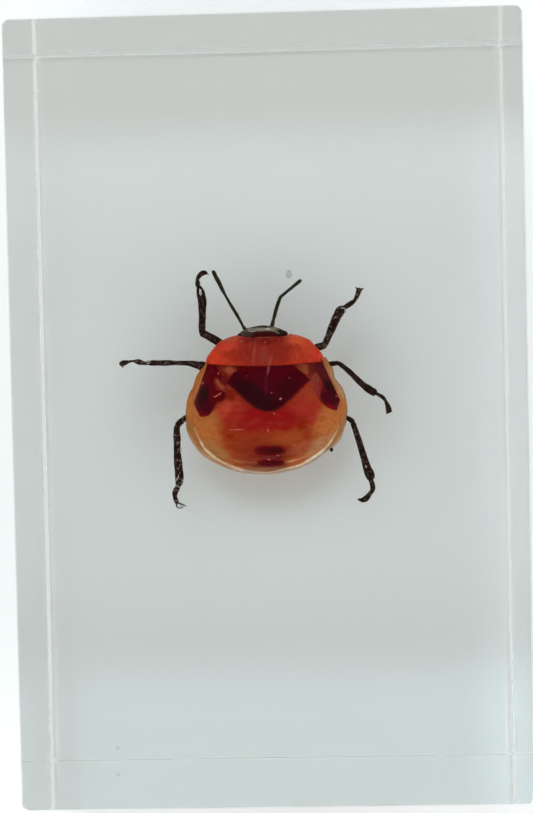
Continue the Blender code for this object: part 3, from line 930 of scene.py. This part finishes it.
# Head with eyes and beak.
head = {
    "centre": (-0.45, 4.3, 8.35),
    "size": (1.45, 0.62, 0.56),
    "eyes": [(-1.62, 4.36, 8.4), (0.73, 4.42, 8.4)],
    "eyeSize": (0.31, 0.21, 0.27),
    # low forms of its front, each with its height or depth and its width
    "brow": (0.07, 0.28),
    "grooves": (0.05, 0.12),
    "groovesOut": 0.45,
    "snout": (0.03, 0.35),
    "beakGirth": (0.11, 0.09),
    "beakTaper": (0.06, 0.05),
    "beak": [
        (-0.45, 4.75, 8.0), (-0.45, 4.6, 7.3), (-0.42, 3.6, 6.75), (-0.4, 2.3, 6.5), (-0.38, 1.2, 6.42),
    ],
    "filmLift": 0.02,
    "filmUnevenness": 0.4,
    "filmFlatness": 0.6,
    # silvery air trapped against the front of the head: half width, and its line
    "filmArcs": [
        (0.022, [(-1.36, 4.66), (-1.2, 4.71), (-1.02, 4.8)]),
        (0.026, [(-1.25, 4.6), (-1.02, 4.6), (-0.82, 4.65)]),
        (0.03, [(-0.3, 4.76), (-0.15, 4.77), (0.02, 4.73)]),
        (0.02, [(-0.75, 4.72), (-0.6, 4.76), (-0.45, 4.76)]),
        (0.022, [(0.3, 4.55), (0.45, 4.49), (0.58, 4.41)]),
    ],
}


def blackCuticle():
    # Hardened cuticle of legs, feelers and eyes: black brown, dull, with greyish flecks painted in as
    # glints where air clings to its fine hairs, more of them on some legs.
    material, tree = newMaterial("hardCuticleBlackBrown")
    colour = mottled(tree, "#20120e", "#38231b", 0.25)
    place = addNode(tree, "TexCoord").outputs["Object"]
    flecked = addNode(tree, "TexNoise", {"Scale": 1 / (0.15 * mm), "Detail": 2.0}, {"Vector": place})
    spots = addNode(
        tree, "MapRange", {"From Min": 0.52, "From Max": 0.66, "To Max": 0.75},
        {"Value": flecked.outputs["Fac"]}, interpolation_type="SMOOTHSTEP",
    )
    # painted glints: greyish flecks where air clings to the hairs, as many as each part's share allows
    glintFlecks = addNode(tree, "Attribute", attribute_name="glintFlecks")
    share = addNode(
        tree, "Math", links={0: spots.outputs["Result"], 1: glintFlecks.outputs["Fac"]}, operation="MULTIPLY"
    )
    colour = layOver(tree, colour, "#9a857c", share.outputs[0])
    return cuticle(material, colour, grain=0.05, depth=0.006, roughness=0.55)


def headCuticle():
    # The head's cuticle: grey olive and dull in front, with a painted highlight across the front
    # where silvery air clings, maroon at the neck, black at the sides.
    material, tree = newMaterial("hardCuticleHead")
    place = wobbledPlace(tree, 0.3, 0.15)
    colour = mottled(tree, "#4e4538", "#8a8070", 0.2)
    colour = patches(tree, colour, place, (
        ("#2e251a", (-0.5, 4.87), (0.5, 0.09), 0, 0.95, 0.8),
        ("#3a322a", (-1.0, 4.78), (0.18, 0.08), 0, 0.9),
        # this row and the three after it, the pale band and lighter spots across the front: painted
        # highlight
        ("#ac9f91", (-0.45, 4.71), (0.72, 0.09), 0, 0.8, 0.9),
        ("#887c71", (-1.05, 4.66), (0.28, 0.1), 20, 0.8),
        ("#e5dbca", (-0.12, 4.73), (0.17, 0.05), 0, 0.9),
        ("#a09880", (0.35, 4.58), (0.36, 0.12), -28, 0.85),
        ("#4e1012", (-0.35, 4.37), (1.1, 0.23), 0, 1.0, 0.6),
        ("#533f37", (-1.5, 4.38), (0.5, 0.25), 10, 0.9, 0.8),
        ("#201613", (0.75, 4.45), (0.45, 0.25), -15, 0.95, 0.8),
    ))
    return cuticle(material, colour, grain=0.07, depth=0.01, roughness=0.5)


def airFilm():
    # A film of air between cuticle and resin: total reflection makes it a silvery mirror,
    # crumpled like foil.
    material, tree = newMaterial("airFilmSilver")
    place = addNode(tree, "TexCoord").outputs["Object"]
    crumple = addNode(tree, "TexNoise", {"Scale": 1 / (0.08 * mm), "Detail": 2.0}, {"Vector": place})
    bump = addNode(
        tree, "Bump", {"Strength": 0.6, "Distance": 0.02 * mm}, {"Height": crumple.outputs["Fac"]}
    )
    colour = mottled(tree, "#a89e94", "#e2dbd3", 0.1)
    return finishSurface(
        material, {"Metallic": 1.0, "Roughness": 0.3},
        {"Base Color": colour, "Normal": bump.outputs["Normal"]},
    )


def makeHead(black, film):
    bm = bmesh.new()
    for vert in lump(bm, head["centre"], head["size"], 72, 40):
        x = vert.co.x - head["centre"][0]
        front = fade(vert.co.y, head["centre"][1], head["centre"][1] + 0.6)
        groove = relief(head, "grooves", abs(x) - head["groovesOut"])
        vert.co.z += front * (relief(head, "brow", x) - groove)
        vert.co.y += front * relief(head, "snout", x)
    finishPiece(bm, "bugHead", headCuticle())
    bm = bmesh.new()
    for centre in head["eyes"]:
        lump(bm, centre, head["eyeSize"], 32, 20)
    beak = smoothPath(head["beak"], 6)
    stations = []
    for i, point in enumerate(beak):
        girth = [g - t * i / len(beak) for g, t in zip(head["beakGirth"], head["beakTaper"])]
        stations.append((point, *girth))
    sweep(bm, stations, sides=12)
    # painted glint flecks: full on the left eye, fewer on the right eye and beak
    setAttribute(bm, "glintFlecks", lambda x, y, z: 1.0 if x < -1 else 0.3)
    finishPiece(bm, "bugEyesAndBeak", black)
    bm = bmesh.new()
    centre, size = head["centre"], head["size"]
    for girth, arc in head["filmArcs"]:
        path = smoothPath(arc, 6)
        stations = []
        for i, (x, y) in enumerate(path):
            rest = 1 - ((x - centre[0]) / size[0]) ** 2 - ((y - centre[1]) / size[1]) ** 2
            z = centre[2] + size[2] * math.sqrt(max(rest, 0.0)) + head["filmLift"]
            swell = 0.3 + 0.7 * math.sin(math.pi * i / (len(path) - 1))
            waver = 1 + head["filmUnevenness"] * noise.noise(Vector((x, y, z)) * 6)
            radius = girth * swell * waver
            stations.append(((x, y, z), radius, radius * head["filmFlatness"]))
        sweep(bm, stations, sides=10)
    finishPiece(bm, "bugHeadAirFilm", film)
    print("head done")


# Legs: the parts of each as they lie, seen from above, with the half width at every place.
legs = {
    "foreLeft": {
        "hip": (-1.7, 2.9),
        "thigh": [
            (-2.5, 3.6, 0.224), (-3.17, 4.09, 0.242), (-3.46, 4.27, 0.242), (-3.74, 4.43, 0.228),
            (-3.97, 4.55, 0.213),
        ],
        "shin": [
            (-4.01, 4.64, 0.202), (-4.02, 4.99, 0.208), (-3.99, 5.46, 0.215), (-3.99, 5.94, 0.228),
            (-3.98, 6.35, 0.249), (-3.99, 6.6, 0.246), (-4.0, 6.76, 0.19),
        ],
        "forks": [
            [(-4.15, 6.6, 0.1), (-4.22, 6.85, 0.09), (-4.23, 7.07, 0.09), (-4.2, 7.26, 0.08)],
            [(-3.87, 6.6, 0.1), (-3.87, 6.8, 0.09), (-3.94, 7.03, 0.092), (-4.07, 7.3, 0.08)],
        ],
        "toe": [(-4.18, 7.28, 0.12), (-4.23, 7.42, 0.145), (-4.24, 7.56, 0.138), (-4.25, 7.7, 0.095)],
        "lastToe": [
            (-4.26, 7.75, 0.1), (-4.15, 7.95, 0.13), (-3.97, 8.11, 0.165), (-3.79, 8.14, 0.14),
            (-3.7, 8.1, 0.08),
        ],
        "claws": [[(-3.76, 8.12, 0.045), (-3.66, 8.08, 0.034), (-3.58, 8.0, 0.016)]],
        "glintFlecks": 0.35,
    },
    "foreRight": {
        "hip": (1.2, 2.7),
        "thigh": [(2.2, 3.3, 0.224), (2.68, 3.55, 0.215), (2.91, 3.63, 0.214), (3.15, 3.68, 0.207)],
        "shin": [
            (3.21, 3.77, 0.188), (3.46, 4.3, 0.2), (3.7, 4.85, 0.234), (3.95, 5.38, 0.267),
            (4.16, 5.73, 0.267), (4.29, 5.87, 0.202),
        ],
        "toe": [(4.4, 5.9, 0.13), (4.61, 6.02, 0.155), (4.79, 6.14, 0.16), (4.97, 6.26, 0.12)],
        "lastToe": [(5.02, 6.31, 0.11), (5.14, 6.53, 0.13), (5.24, 6.8, 0.15), (5.3, 6.93, 0.165)],
        "claws": [
            [(5.26, 6.9, 0.067), (5.16, 7.02, 0.047), (5.07, 7.1, 0.016)],
            [(5.38, 6.9, 0.067), (5.48, 6.98, 0.049), (5.57, 7.02, 0.016)],
        ],
        "glintFlecks": 0.9,
    },
    "midLeft": {
        "hip": (-2.4, 2.1),
        "thigh": [
            (-3.3, 2.42, 0.28), (-4.03, 2.61, 0.28), (-4.27, 2.67, 0.25), (-4.5, 2.73, 0.205),
            (-4.85, 2.81, 0.16), (-5.26, 2.83, 0.14), (-5.55, 2.84, 0.12),
        ],
        "shin": [
            (-5.6, 2.85, 0.11), (-5.96, 2.86, 0.158), (-6.5, 2.86, 0.162), (-6.92, 2.87, 0.162),
            (-7.2, 2.87, 0.145),
        ],
        "toe": [
            (-7.24, 2.86, 0.105), (-7.45, 2.86, 0.105), (-7.65, 2.9, 0.138), (-7.88, 2.96, 0.15),
            (-8.09, 3.0, 0.09),
        ],
        "lastToe": [
            (-8.12, 3.01, 0.06), (-8.24, 3.01, 0.06), (-8.45, 2.97, 0.09), (-8.66, 2.93, 0.14),
            (-8.83, 2.88, 0.168), (-8.93, 2.88, 0.137),
        ],
        "claws": [[(-8.86, 2.8, 0.062), (-8.84, 2.7, 0.045), (-8.8, 2.62, 0.016)]],
        "glintFlecks": 0.45,
    },
    "midRight": {
        "hip": (1.9, 2.2),
        "thigh": [
            (2.6, 2.5, 0.179), (3.19, 2.59, 0.149), (3.42, 2.59, 0.149), (3.66, 2.61, 0.149),
            (3.92, 2.64, 0.129),
        ],
        "shin": [
            (3.98, 2.63, 0.122), (4.24, 2.44, 0.136), (4.65, 2.08, 0.161), (5.05, 1.66, 0.168),
            (5.4, 1.32, 0.195), (5.75, 1.05, 0.227), (6.0, 0.89, 0.241), (6.08, 0.84, 0.213),
        ],
        "toe": [(6.18, 0.79, 0.095), (6.42, 0.65, 0.112), (6.6, 0.51, 0.115), (6.7, 0.36, 0.095)],
        "lastToe": [(6.73, 0.3, 0.095), (6.82, 0.09, 0.136), (6.88, -0.11, 0.168), (6.9, -0.27, 0.174)],
        "claws": [
            [(6.84, -0.3, 0.078), (6.79, -0.4, 0.05), (6.75, -0.48, 0.016)],
            [(6.98, -0.24, 0.067), (7.05, -0.28, 0.045), (7.1, -0.3, 0.016)],
        ],
        "glintFlecks": 0.25,
    },
    "hindLeft": {
        "hip": (-3.1, 0.1),
        "thigh": [
            (-4.2, -0.1, 0.168), (-5.05, -0.37, 0.15), (-5.25, -0.5, 0.169), (-5.46, -0.68, 0.183),
            (-5.58, -0.82, 0.183),
        ],
        "shin": [
            (-5.64, -0.94, 0.183), (-5.66, -1.3, 0.209), (-5.65, -1.77, 0.216), (-5.67, -2.25, 0.189),
            (-5.65, -2.72, 0.23), (-5.62, -3.26, 0.243), (-5.58, -3.8, 0.25), (-5.59, -4.16, 0.258),
            (-5.64, -4.4, 0.168),
        ],
        "toe": [(-5.7, -4.54, 0.15), (-5.79, -4.69, 0.164), (-5.87, -4.87, 0.17), (-5.88, -5.05, 0.137)],
        "lastToe": [
            (-5.88, -5.11, 0.13), (-5.84, -5.26, 0.143), (-5.78, -5.41, 0.13), (-5.71, -5.49, 0.078),
        ],
        "claws": [
            [
                (-5.72, -5.45, 0.06), (-5.62, -5.5, 0.05), (-5.47, -5.56, 0.045), (-5.33, -5.63, 0.035),
                (-5.22, -5.69, 0.014),
            ],
            [
                (-5.79, -5.5, 0.05), (-5.8, -5.66, 0.04), (-5.7, -5.76, 0.035), (-5.55, -5.78, 0.03),
                (-5.38, -5.72, 0.014),
            ],
        ],
        "glintFlecks": 1.0,
    },
    "hindRight": {
        "hip": (2.5, 0.0),
        "thigh": [
            (3.6, -0.2, 0.157), (4.25, -0.5, 0.129), (4.45, -0.62, 0.129), (4.62, -0.73, 0.149),
            (4.72, -0.81, 0.148),
        ],
        "shin": [
            (4.76, -0.92, 0.155), (4.89, -1.33, 0.168), (5.06, -1.87, 0.181), (5.22, -2.43, 0.195),
            (5.39, -3.03, 0.215), (5.55, -3.6, 0.248), (5.7, -3.99, 0.274), (5.75, -4.18, 0.241),
        ],
        "toe": [
            (5.76, -4.34, 0.14), (5.84, -4.59, 0.15), (5.86, -4.8, 0.15), (5.8, -4.99, 0.14),
            (5.69, -5.11, 0.13),
        ],
        "lastToe": [
            (5.66, -5.15, 0.13), (5.55, -5.31, 0.155), (5.41, -5.44, 0.175), (5.25, -5.5, 0.15),
            (5.15, -5.5, 0.11),
        ],
        "claws": [[(5.2, -5.5, 0.1), (5.1, -5.49, 0.085), (5.02, -5.47, 0.06)]],
        "glintFlecks": 0.4,
    },
}
legShape = {
    "hipHeight": 7.25,
    "hipSize": (0.42, 0.36, 0.3),
    "hipRaise": 0.1,
    "hipWidth": 0.22,
    # height of each part, from its near to its far end
    "heights": {
        "thigh": (7.7, 8.05), "shin": (8.05, 7.7), "forks": (7.76, 7.7), "toe": (7.7, 7.6),
        "lastToe": (7.6, 7.5), "claws": (7.5, 7.38),
    },
    "flatness": {
        "thigh": 0.9, "shin": 0.62, "forks": 0.8, "toe": 0.8, "lastToe": 0.7, "claws": 1.0,
    },
    "unevenness": 0.14,
    "unevennessPerMm": 3.5,
    "groove": (0.22, 0.35),
    "bristles": 30,
    "bristleLength": 0.14,
    "bristleRadii": (0.012, 0.003),
    "bristleRoot": 0.8,  # share of the half width at which it starts
    "bristleTilt": (0.75, 0.65),  # outward and ahead
    "goldenAngle": 2.399963,  # spreads them evenly
}


def groovedShin(angle):
    # a shin in section: flattened, with a groove along its back
    return 1 - relief(legShape, "groove", abs(angle) - math.pi / 2)


def limbPart(bm, rows, heights, flatness=1.0, profile=None):
    # rows of (x, y, half width); skin is never quite even, so the width wavers a little
    stations = []
    path = smoothPath(rows, 4)
    for i, (x, y, halfWidth) in enumerate(path):
        z = heights[0] + (heights[1] - heights[0]) * i / (len(path) - 1)
        grain = Vector((x, y, z)) * legShape["unevennessPerMm"]
        waver = 1 + legShape["unevenness"] * noise.noise(grain)
        stations.append(((x, y, z), halfWidth * waver, halfWidth * waver * flatness))
    sweep(bm, stations, sides=16, profile=profile)


def addBristles(bm, rows, heights, count):
    size = legShape
    path = smoothPath(rows, 8)
    for i in range(count):
        angle = i * size["goldenAngle"]
        share = (i + 0.5) / count
        near = int(share * (len(path) - 2))
        x, y, halfWidth = path[near]
        z = heights[0] + (heights[1] - heights[0]) * share
        ahead = (Vector(path[near + 1][:2] + (z,)) - Vector((x, y, z))).normalized()
        side = ahead.cross(Vector((0, 0, 1))).normalized()
        outward = side * math.cos(angle) + side.cross(ahead) * math.sin(angle) * 0.6
        root = Vector((x, y, z)) + outward * halfWidth * size["bristleRoot"]
        out, forward = size["bristleTilt"]
        tip = (outward.normalized() * out + ahead * forward).normalized()
        length = size["bristleLength"] * (0.7 + 0.3 * math.sin(7 * i))
        thick, thin = size["bristleRadii"]
        bmesh.ops.create_cone(
            bm, cap_ends=True, segments=4, radius1=thick, radius2=thin, depth=length,
            matrix=Matrix.Translation(root + tip * length / 2)
            @ tip.to_track_quat("Z", "Y").to_matrix().to_4x4(),
        )


def makeLegs(black):
    size = legShape
    bm = bmesh.new()
    # how much painted glint each leg's cuticle gets
    glintFlecks = bm.verts.layers.float.new("glintFlecks")
    for leg in legs.values():
        before = len(bm.verts)
        heights, flatness = size["heights"], size["flatness"]
        lump(bm, leg["hip"] + (size["hipHeight"] + size["hipRaise"],), size["hipSize"], 24, 14)
        hipRows = [leg["hip"] + (size["hipWidth"],), leg["thigh"][0]]
        limbPart(bm, hipRows, (size["hipHeight"], heights["thigh"][0]), flatness["thigh"])
        for part in ("thigh", "shin", "toe", "lastToe"):
            profile = groovedShin if part == "shin" else None
            limbPart(bm, leg[part], heights[part], flatness[part], profile)
        for part in ("forks", "claws"):
            for rows in leg.get(part, ()):
                limbPart(bm, rows, heights[part], flatness[part])
        addBristles(bm, leg["shin"], heights["shin"], size["bristles"])
        addBristles(bm, leg["thigh"], heights["thigh"], size["bristles"] // 3)
        bm.verts.ensure_lookup_table()
        for i in range(before, len(bm.verts)):
            bm.verts[i][glintFlecks] = leg["glintFlecks"]
    finishPiece(bm, "bugLegs", black)
    print("legs done")


# Feelers: stout tip joints, the bend of the right one at its second joint.
feelers = {
    "left": [
        [(-1.35, 4.6, 0.122), (-1.51, 4.79, 0.109), (-1.62, 4.97, 0.073)],
        [
            (-1.63, 5.0, 0.068), (-1.76, 5.26, 0.09), (-1.99, 5.69, 0.096), (-2.25, 6.13, 0.089),
            (-2.5, 6.58, 0.079),
        ],
        [
            (-2.52, 6.63, 0.062), (-2.73, 7.02, 0.101), (-2.92, 7.44, 0.12), (-3.12, 7.83, 0.124),
            (-3.26, 8.13, 0.112), (-3.29, 8.18, 0.083),
        ],
    ],
    "right": [
        [(0.02, 4.7, 0.136), (0.11, 4.9, 0.13), (0.19, 5.19, 0.109)],
        [(0.2, 5.24, 0.089), (0.32, 5.66, 0.108), (0.47, 6.15, 0.112), (0.63, 6.54, 0.102)],
        [
            (0.63, 6.58, 0.09), (0.9, 6.79, 0.085), (1.2, 7.03, 0.09), (1.5, 7.27, 0.098),
            (1.79, 7.5, 0.108), (1.84, 7.54, 0.082),
        ],
    ],
    "heights": [(8.25, 8.25), (8.25, 8.25), (8.25, 7.95)],
}


def feelerCuticle():
    # The feelers are of the same hard cuticle, a little thinner: dark olive.
    material, tree = newMaterial("hardCuticleOlive")
    colour = mottled(tree, "#241c12", "#453c2a", 0.2)
    return cuticle(material, colour, grain=0.05, depth=0.006, roughness=0.5)


def makeFeelers():
    bm = bmesh.new()
    for side in ("left", "right"):
        for rows, heights in zip(feelers[side], feelers["heights"]):
            limbPart(bm, rows, heights)
    finishPiece(bm, "bugFeelers", feelerCuticle())
    print("feelers done")


# Small bright flecks where air clings to the bug, those on its back painted glints, and what else
# is sealed in the resin.
flecks = {
    "overBack": 0.03,
    "overPlates": 0.2,
    "threadsOverPlates": 0.16,
    "leastHeight": 0.24,  # so that one on the margin isn't buried
    "roundThickness": 0.02,
    "unevenness": 0.5,
    "grainUnevenness": 0.4,
    # on the back, painted glints: place, half length, half width, turn
    "round": [
        ((-4.0, 1.63), 0.08, 0.06, 10), ((0.56, 0.64), 0.075, 0.07, 20), ((-0.2, -1.18), 0.05, 0.1, 12),
        ((0.17, -0.21), 0.045, 0.06, 0), ((3.8, 0.69), 0.045, 0.05, 0), ((0.32, -2.7), 0.08, 0.025, 8),
        ((0.05, 1.01), 0.045, 0.03, 30), ((-4.85, -0.72), 0.06, 0.09, 0), ((-3.05, 2.18), 0.045, 0.06, 0),
        ((-0.22, -2.92), 0.1, 0.03, -6), ((1.3, -2.08), 0.1, 0.025, -6), ((1.62, -2.56), 0.08, 0.03, -6),
    ],
    # fine threads on the back, painted glints: half width, and the line
    "threads": [
        (0.04, [(-2.44, -1.12), (-2.2, -1.1), (-1.95, -1.1), (-1.66, -1.1)]),
        (0.042, [(-3.3, 0.84), (-3.2, 0.86), (-3.08, 0.93), (-2.92, 1.04)]),
        (0.02, [(-3.1, 0.31), (-2.9, 0.28), (-2.6, 0.29), (-2.3, 0.31)]),
    ],
    # on the legs: height, half width, and the line
    "onLegs": [
        (7.8, 0.03, [(-4.05, 6.66), (-4.06, 6.94), (-4.02, 7.15)]),
        (7.8, 0.035, [(-4.36, 7.2), (-4.29, 7.25)]),
        (7.95, 0.026, [
            (-7.38, 2.96), (-7.3, 3.02), (-7.18, 3.0), (-7.15, 2.92), (-7.25, 2.86), (-7.37, 2.89),
        ]),
        (7.98, 0.03, [(4.22, 5.87), (4.4, 5.85), (4.46, 5.7), (4.41, 5.58)]),
        (7.5, 0.045, [(-5.6, -5.63), (-5.45, -5.67)]),
        (7.93, 0.028, [(-5.75, -4.11), (-5.65, -3.93), (-5.61, -3.82)]),
        (7.9, 0.022, [(-5.44, -4.1), (-5.35, -4.12)]),
        (7.88, 0.028, [(-5.84, -4.35), (-5.75, -4.41), (-5.61, -4.5)]),
        (8.03, 0.03, [(-5.46, -2.16), (-5.42, -2.28), (-5.47, -2.4)]),
        (8.0, 0.035, [(5.45, -3.43), (5.49, -3.55)]),
    ],
    # grains: place and size, and how much they hide
    "darkGrains": [((3.46, -2.46, 8.15), (0.1, 0.12, 0.09), 1.0)],
    "faintGrains": [
        ((1.15, 7.95, 7.0), (0.17, 0.24, 0.1), 0.16), ((-10.25, -21.15, 0.6), (0.12, 0.14, 0.06), 0.04),
    ],
}


def clingingAirGlint(name, dark, light):
    # Painted glints: pinpricks and threads of air on the back, so fine that the colour under them
    # shows: rosy or red, and soft.
    material, tree = newMaterial(name)
    return finishSurface(
        material, {"Roughness": 0.5, "IOR": wetIndex, "Alpha": 0.65},
        {"Base Color": mottled(tree, dark, light, 0.1)},
    )


def faintDust():
    # Specks of dust cast in with the resin, so thin that they only grey what lies behind.
    material, tree = newMaterial("dustCastIn")
    colour = mottled(tree, "#6a6c5c", "#96988a", 0.1)
    thickness = addNode(tree, "Attribute", attribute_name="thickness")
    return finishSurface(
        material, {"Roughness": 0.6, "IOR": wetIndex},
        {"Base Color": colour, "Alpha": thickness.outputs["Fac"]},
    )


def makeFlecks(film, black):
    bm = bmesh.new()
    # rosy lumps of air over the back: painted glints
    for (x, y), long, wide, turn in flecks["round"]:
        ground = max(backHeight(x, y), bug["level"] + flecks["leastHeight"])
        z = ground + flecks["overPlates" if y > 0 else "overBack"]
        lump(bm, (x, y, z), (long, wide, flecks["roundThickness"]), 12, 8, math.radians(turn))
    finishPiece(bm, "airPinprickGlints", clingingAirGlint("airPinprickGlintRosy", "#de6555", "#ffaaa2"))
    bm = bmesh.new()
    # red threads of air over the back: painted glints
    for girth, line in flecks["threads"]:
        over = flecks["threadsOverPlates" if line[0][1] > 0.5 else "overBack"]
        path = [(x, y, backHeight(x, y) + over) for x, y in smoothPath(line, 5)]
        sweep(bm, [(point, girth, girth) for point in path], sides=8)
    finishPiece(bm, "airThreadGlints", clingingAirGlint("airThreadGlintRed", "#d45235", "#ff8e6c"))
    bm = bmesh.new()
    for z, girth, line in flecks["onLegs"]:
        stations = []
        for x, y in smoothPath(line, 5):
            waver = 1 + flecks["unevenness"] * noise.noise(Vector((x, y, z)) * 9)
            stations.append(((x, y, z), girth * waver, girth * 0.7))
        sweep(bm, stations, sides=8)
    finishPiece(bm, "airFlecks", film)
    for grains, material, name in (
        ("darkGrains", black, "sealedGrain"), ("faintGrains", faintDust(), "sealedDust")
    ):
        bm = bmesh.new()
        thickness = bm.verts.layers.float.new("thickness")
        for centre, size, hiding in flecks[grains]:
            for vert in lump(bm, centre, size, 16, 10):
                waver = flecks["grainUnevenness"] * noise.noise(vert.co * 12)
                vert.co += (vert.co - Vector(centre)) * waver
                vert[thickness] = hiding
        finishPiece(bm, name, material)
    print("flecks done")


black = blackCuticle()
film = airFilm()
makeTrunk()
makeMargin()
makePronotum()
makeSaddle()
makeGlands()
makeHead(black, film)
makeLegs(black)
makeFeelers()
makeFlecks(film, black)

# Camera, as the photograph was taken: straight down, 88 mm above the block's upper face.
cameraPlace = {
    "place": (2.68, 2.93, 104.75),
    "turn": (-1.709, 1.812, -1.207),  # rotation vector, degrees
    "lens": 70.39,
}


def makeCamera():
    data = bpy.data.cameras.new("camera")
    data.lens = cameraPlace["lens"]
    data.clip_start = 0.001
    camera = bpy.data.objects.new("camera", data)
    bpy.context.scene.collection.objects.link(camera)
    turn = Vector([math.radians(a) for a in cameraPlace["turn"]])
    camera.matrix_world = Matrix.Translation(Vector(cameraPlace["place"]) * mm) @ Matrix.Rotation(
        turn.length, 4, turn.normalized()
    )
    bpy.context.scene.camera = camera
    print("camera done")


makeCamera()

studio = {
    "floorSize": 3000,
    "floorDrop": 0.03,  # a hair under the block, so that the two faces don't meet
    "floorColour": "#fbfbfa",
    "brightSide": "#ffffff",
    "dimSide": "#b4b1a7",
    "sideEdge": (-0.6, 0.8),
    "overhead": "#b4b4b2",
    "overheadEdge": (0.7, 1.0),  # height on the sky where it begins and is full
    "hood": "#0c0c0c",  # round the camera: what the upper face mirrors
    "hoodEdge": (0.93, 0.96),
    "towards": (0.8, -0.6, 0.0),  # the bright side, the same to left and right
    "worldStrength": 1.4,
    "keyPlace": (-30, 268, 537),  # a wide, cool softbox, well over the bug's head
    "keySize": 220,
    "keyPower": 0.84,
    "keyColour": "#d7f0ff",
}


def makeFloor():
    bm = bmesh.new()
    bmesh.ops.create_grid(bm, x_segments=1, y_segments=1, size=studio["floorSize"] / 2 * mm)
    bmesh.ops.translate(bm, vec=(0, 0, -studio["floorDrop"] * mm), verts=bm.verts)
    mesh = bpy.data.meshes.new("floor")
    bm.to_mesh(mesh)
    bm.free()
    floor = bpy.data.objects.new("floor", mesh)
    bpy.context.scene.collection.objects.link(floor)
    paper, _ = newMaterial("mattePaper")
    colour = linearColour(studio["floorColour"])
    mesh.materials.append(finishSurface(paper, {"Base Color": colour, "Roughness": 0.9}))


def makeSky():
    # bright to left and right, dimmer behind and before, plain overhead, dark where the camera is
    world = bpy.data.worlds.new("softStudio")
    bpy.context.scene.world = world
    world.use_nodes = True
    tree = world.node_tree
    tree.nodes.clear()
    direction = addNode(tree, "TexCoord")
    parts = addNode(tree, "SeparateXYZ", links={0: direction.outputs["Generated"]})
    across = addNode(tree, "Math", links={0: parts.outputs["X"]}, operation="ABSOLUTE")
    mirrored = addNode(
        tree, "CombineXYZ",
        links={"X": across.outputs[0], "Y": parts.outputs["Y"], "Z": parts.outputs["Z"]},
    )
    side = addNode(
        tree, "VectorMath", {1: studio["towards"]}, {0: mirrored.outputs[0]}, operation="DOT_PRODUCT"
    )

    def share(value, edges):
        low, high = edges
        ramp = addNode(
            tree, "MapRange", {"From Min": low, "From Max": high}, {"Value": value},
            interpolation_type="SMOOTHSTEP",
        )
        return ramp.outputs["Result"]

    around = addNode(
        tree, "Mix", {6: linearColour(studio["dimSide"]), 7: linearColour(studio["brightSide"])},
        {0: share(side.outputs["Value"], studio["sideEdge"])}, data_type="RGBA",
    )
    colour = around.outputs[2]
    for shade, edge in (("overhead", "overheadEdge"), ("hood", "hoodEdge")):
        colour = layOver(tree, colour, studio[shade], share(parts.outputs["Z"], studio[edge]))
    sky = addNode(tree, "Background", {"Strength": studio["worldStrength"]}, {"Color": colour})
    addNode(tree, "OutputWorld", links={"Surface": sky.outputs[0]})


def makeStudio():
    makeFloor()
    makeSky()
    softbox = bpy.data.lights.new("keySoftbox", "AREA")
    softbox.shape = "DISK"
    softbox.size = studio["keySize"] * mm
    softbox.energy = studio["keyPower"]
    softbox.color = linearColour(studio["keyColour"])[:3]
    key = bpy.data.objects.new("keySoftbox", softbox)
    bpy.context.scene.collection.objects.link(key)
    place = Vector(studio["keyPlace"]) * mm
    key.location = place
    key.rotation_euler = place.to_track_quat("Z", "Y").to_euler()
    scene = bpy.context.scene
    scene.view_settings.view_transform = "Standard"
    scene.cycles.use_denoising = True
    scene.cycles.blur_glossy = 0.0  # keeps the block's walls true mirrors from inside
    scene.cycles.max_bounces = 24
    scene.cycles.glossy_bounces = 16
    scene.cycles.transmission_bounces = 24
    print("studio done")


makeStudio()
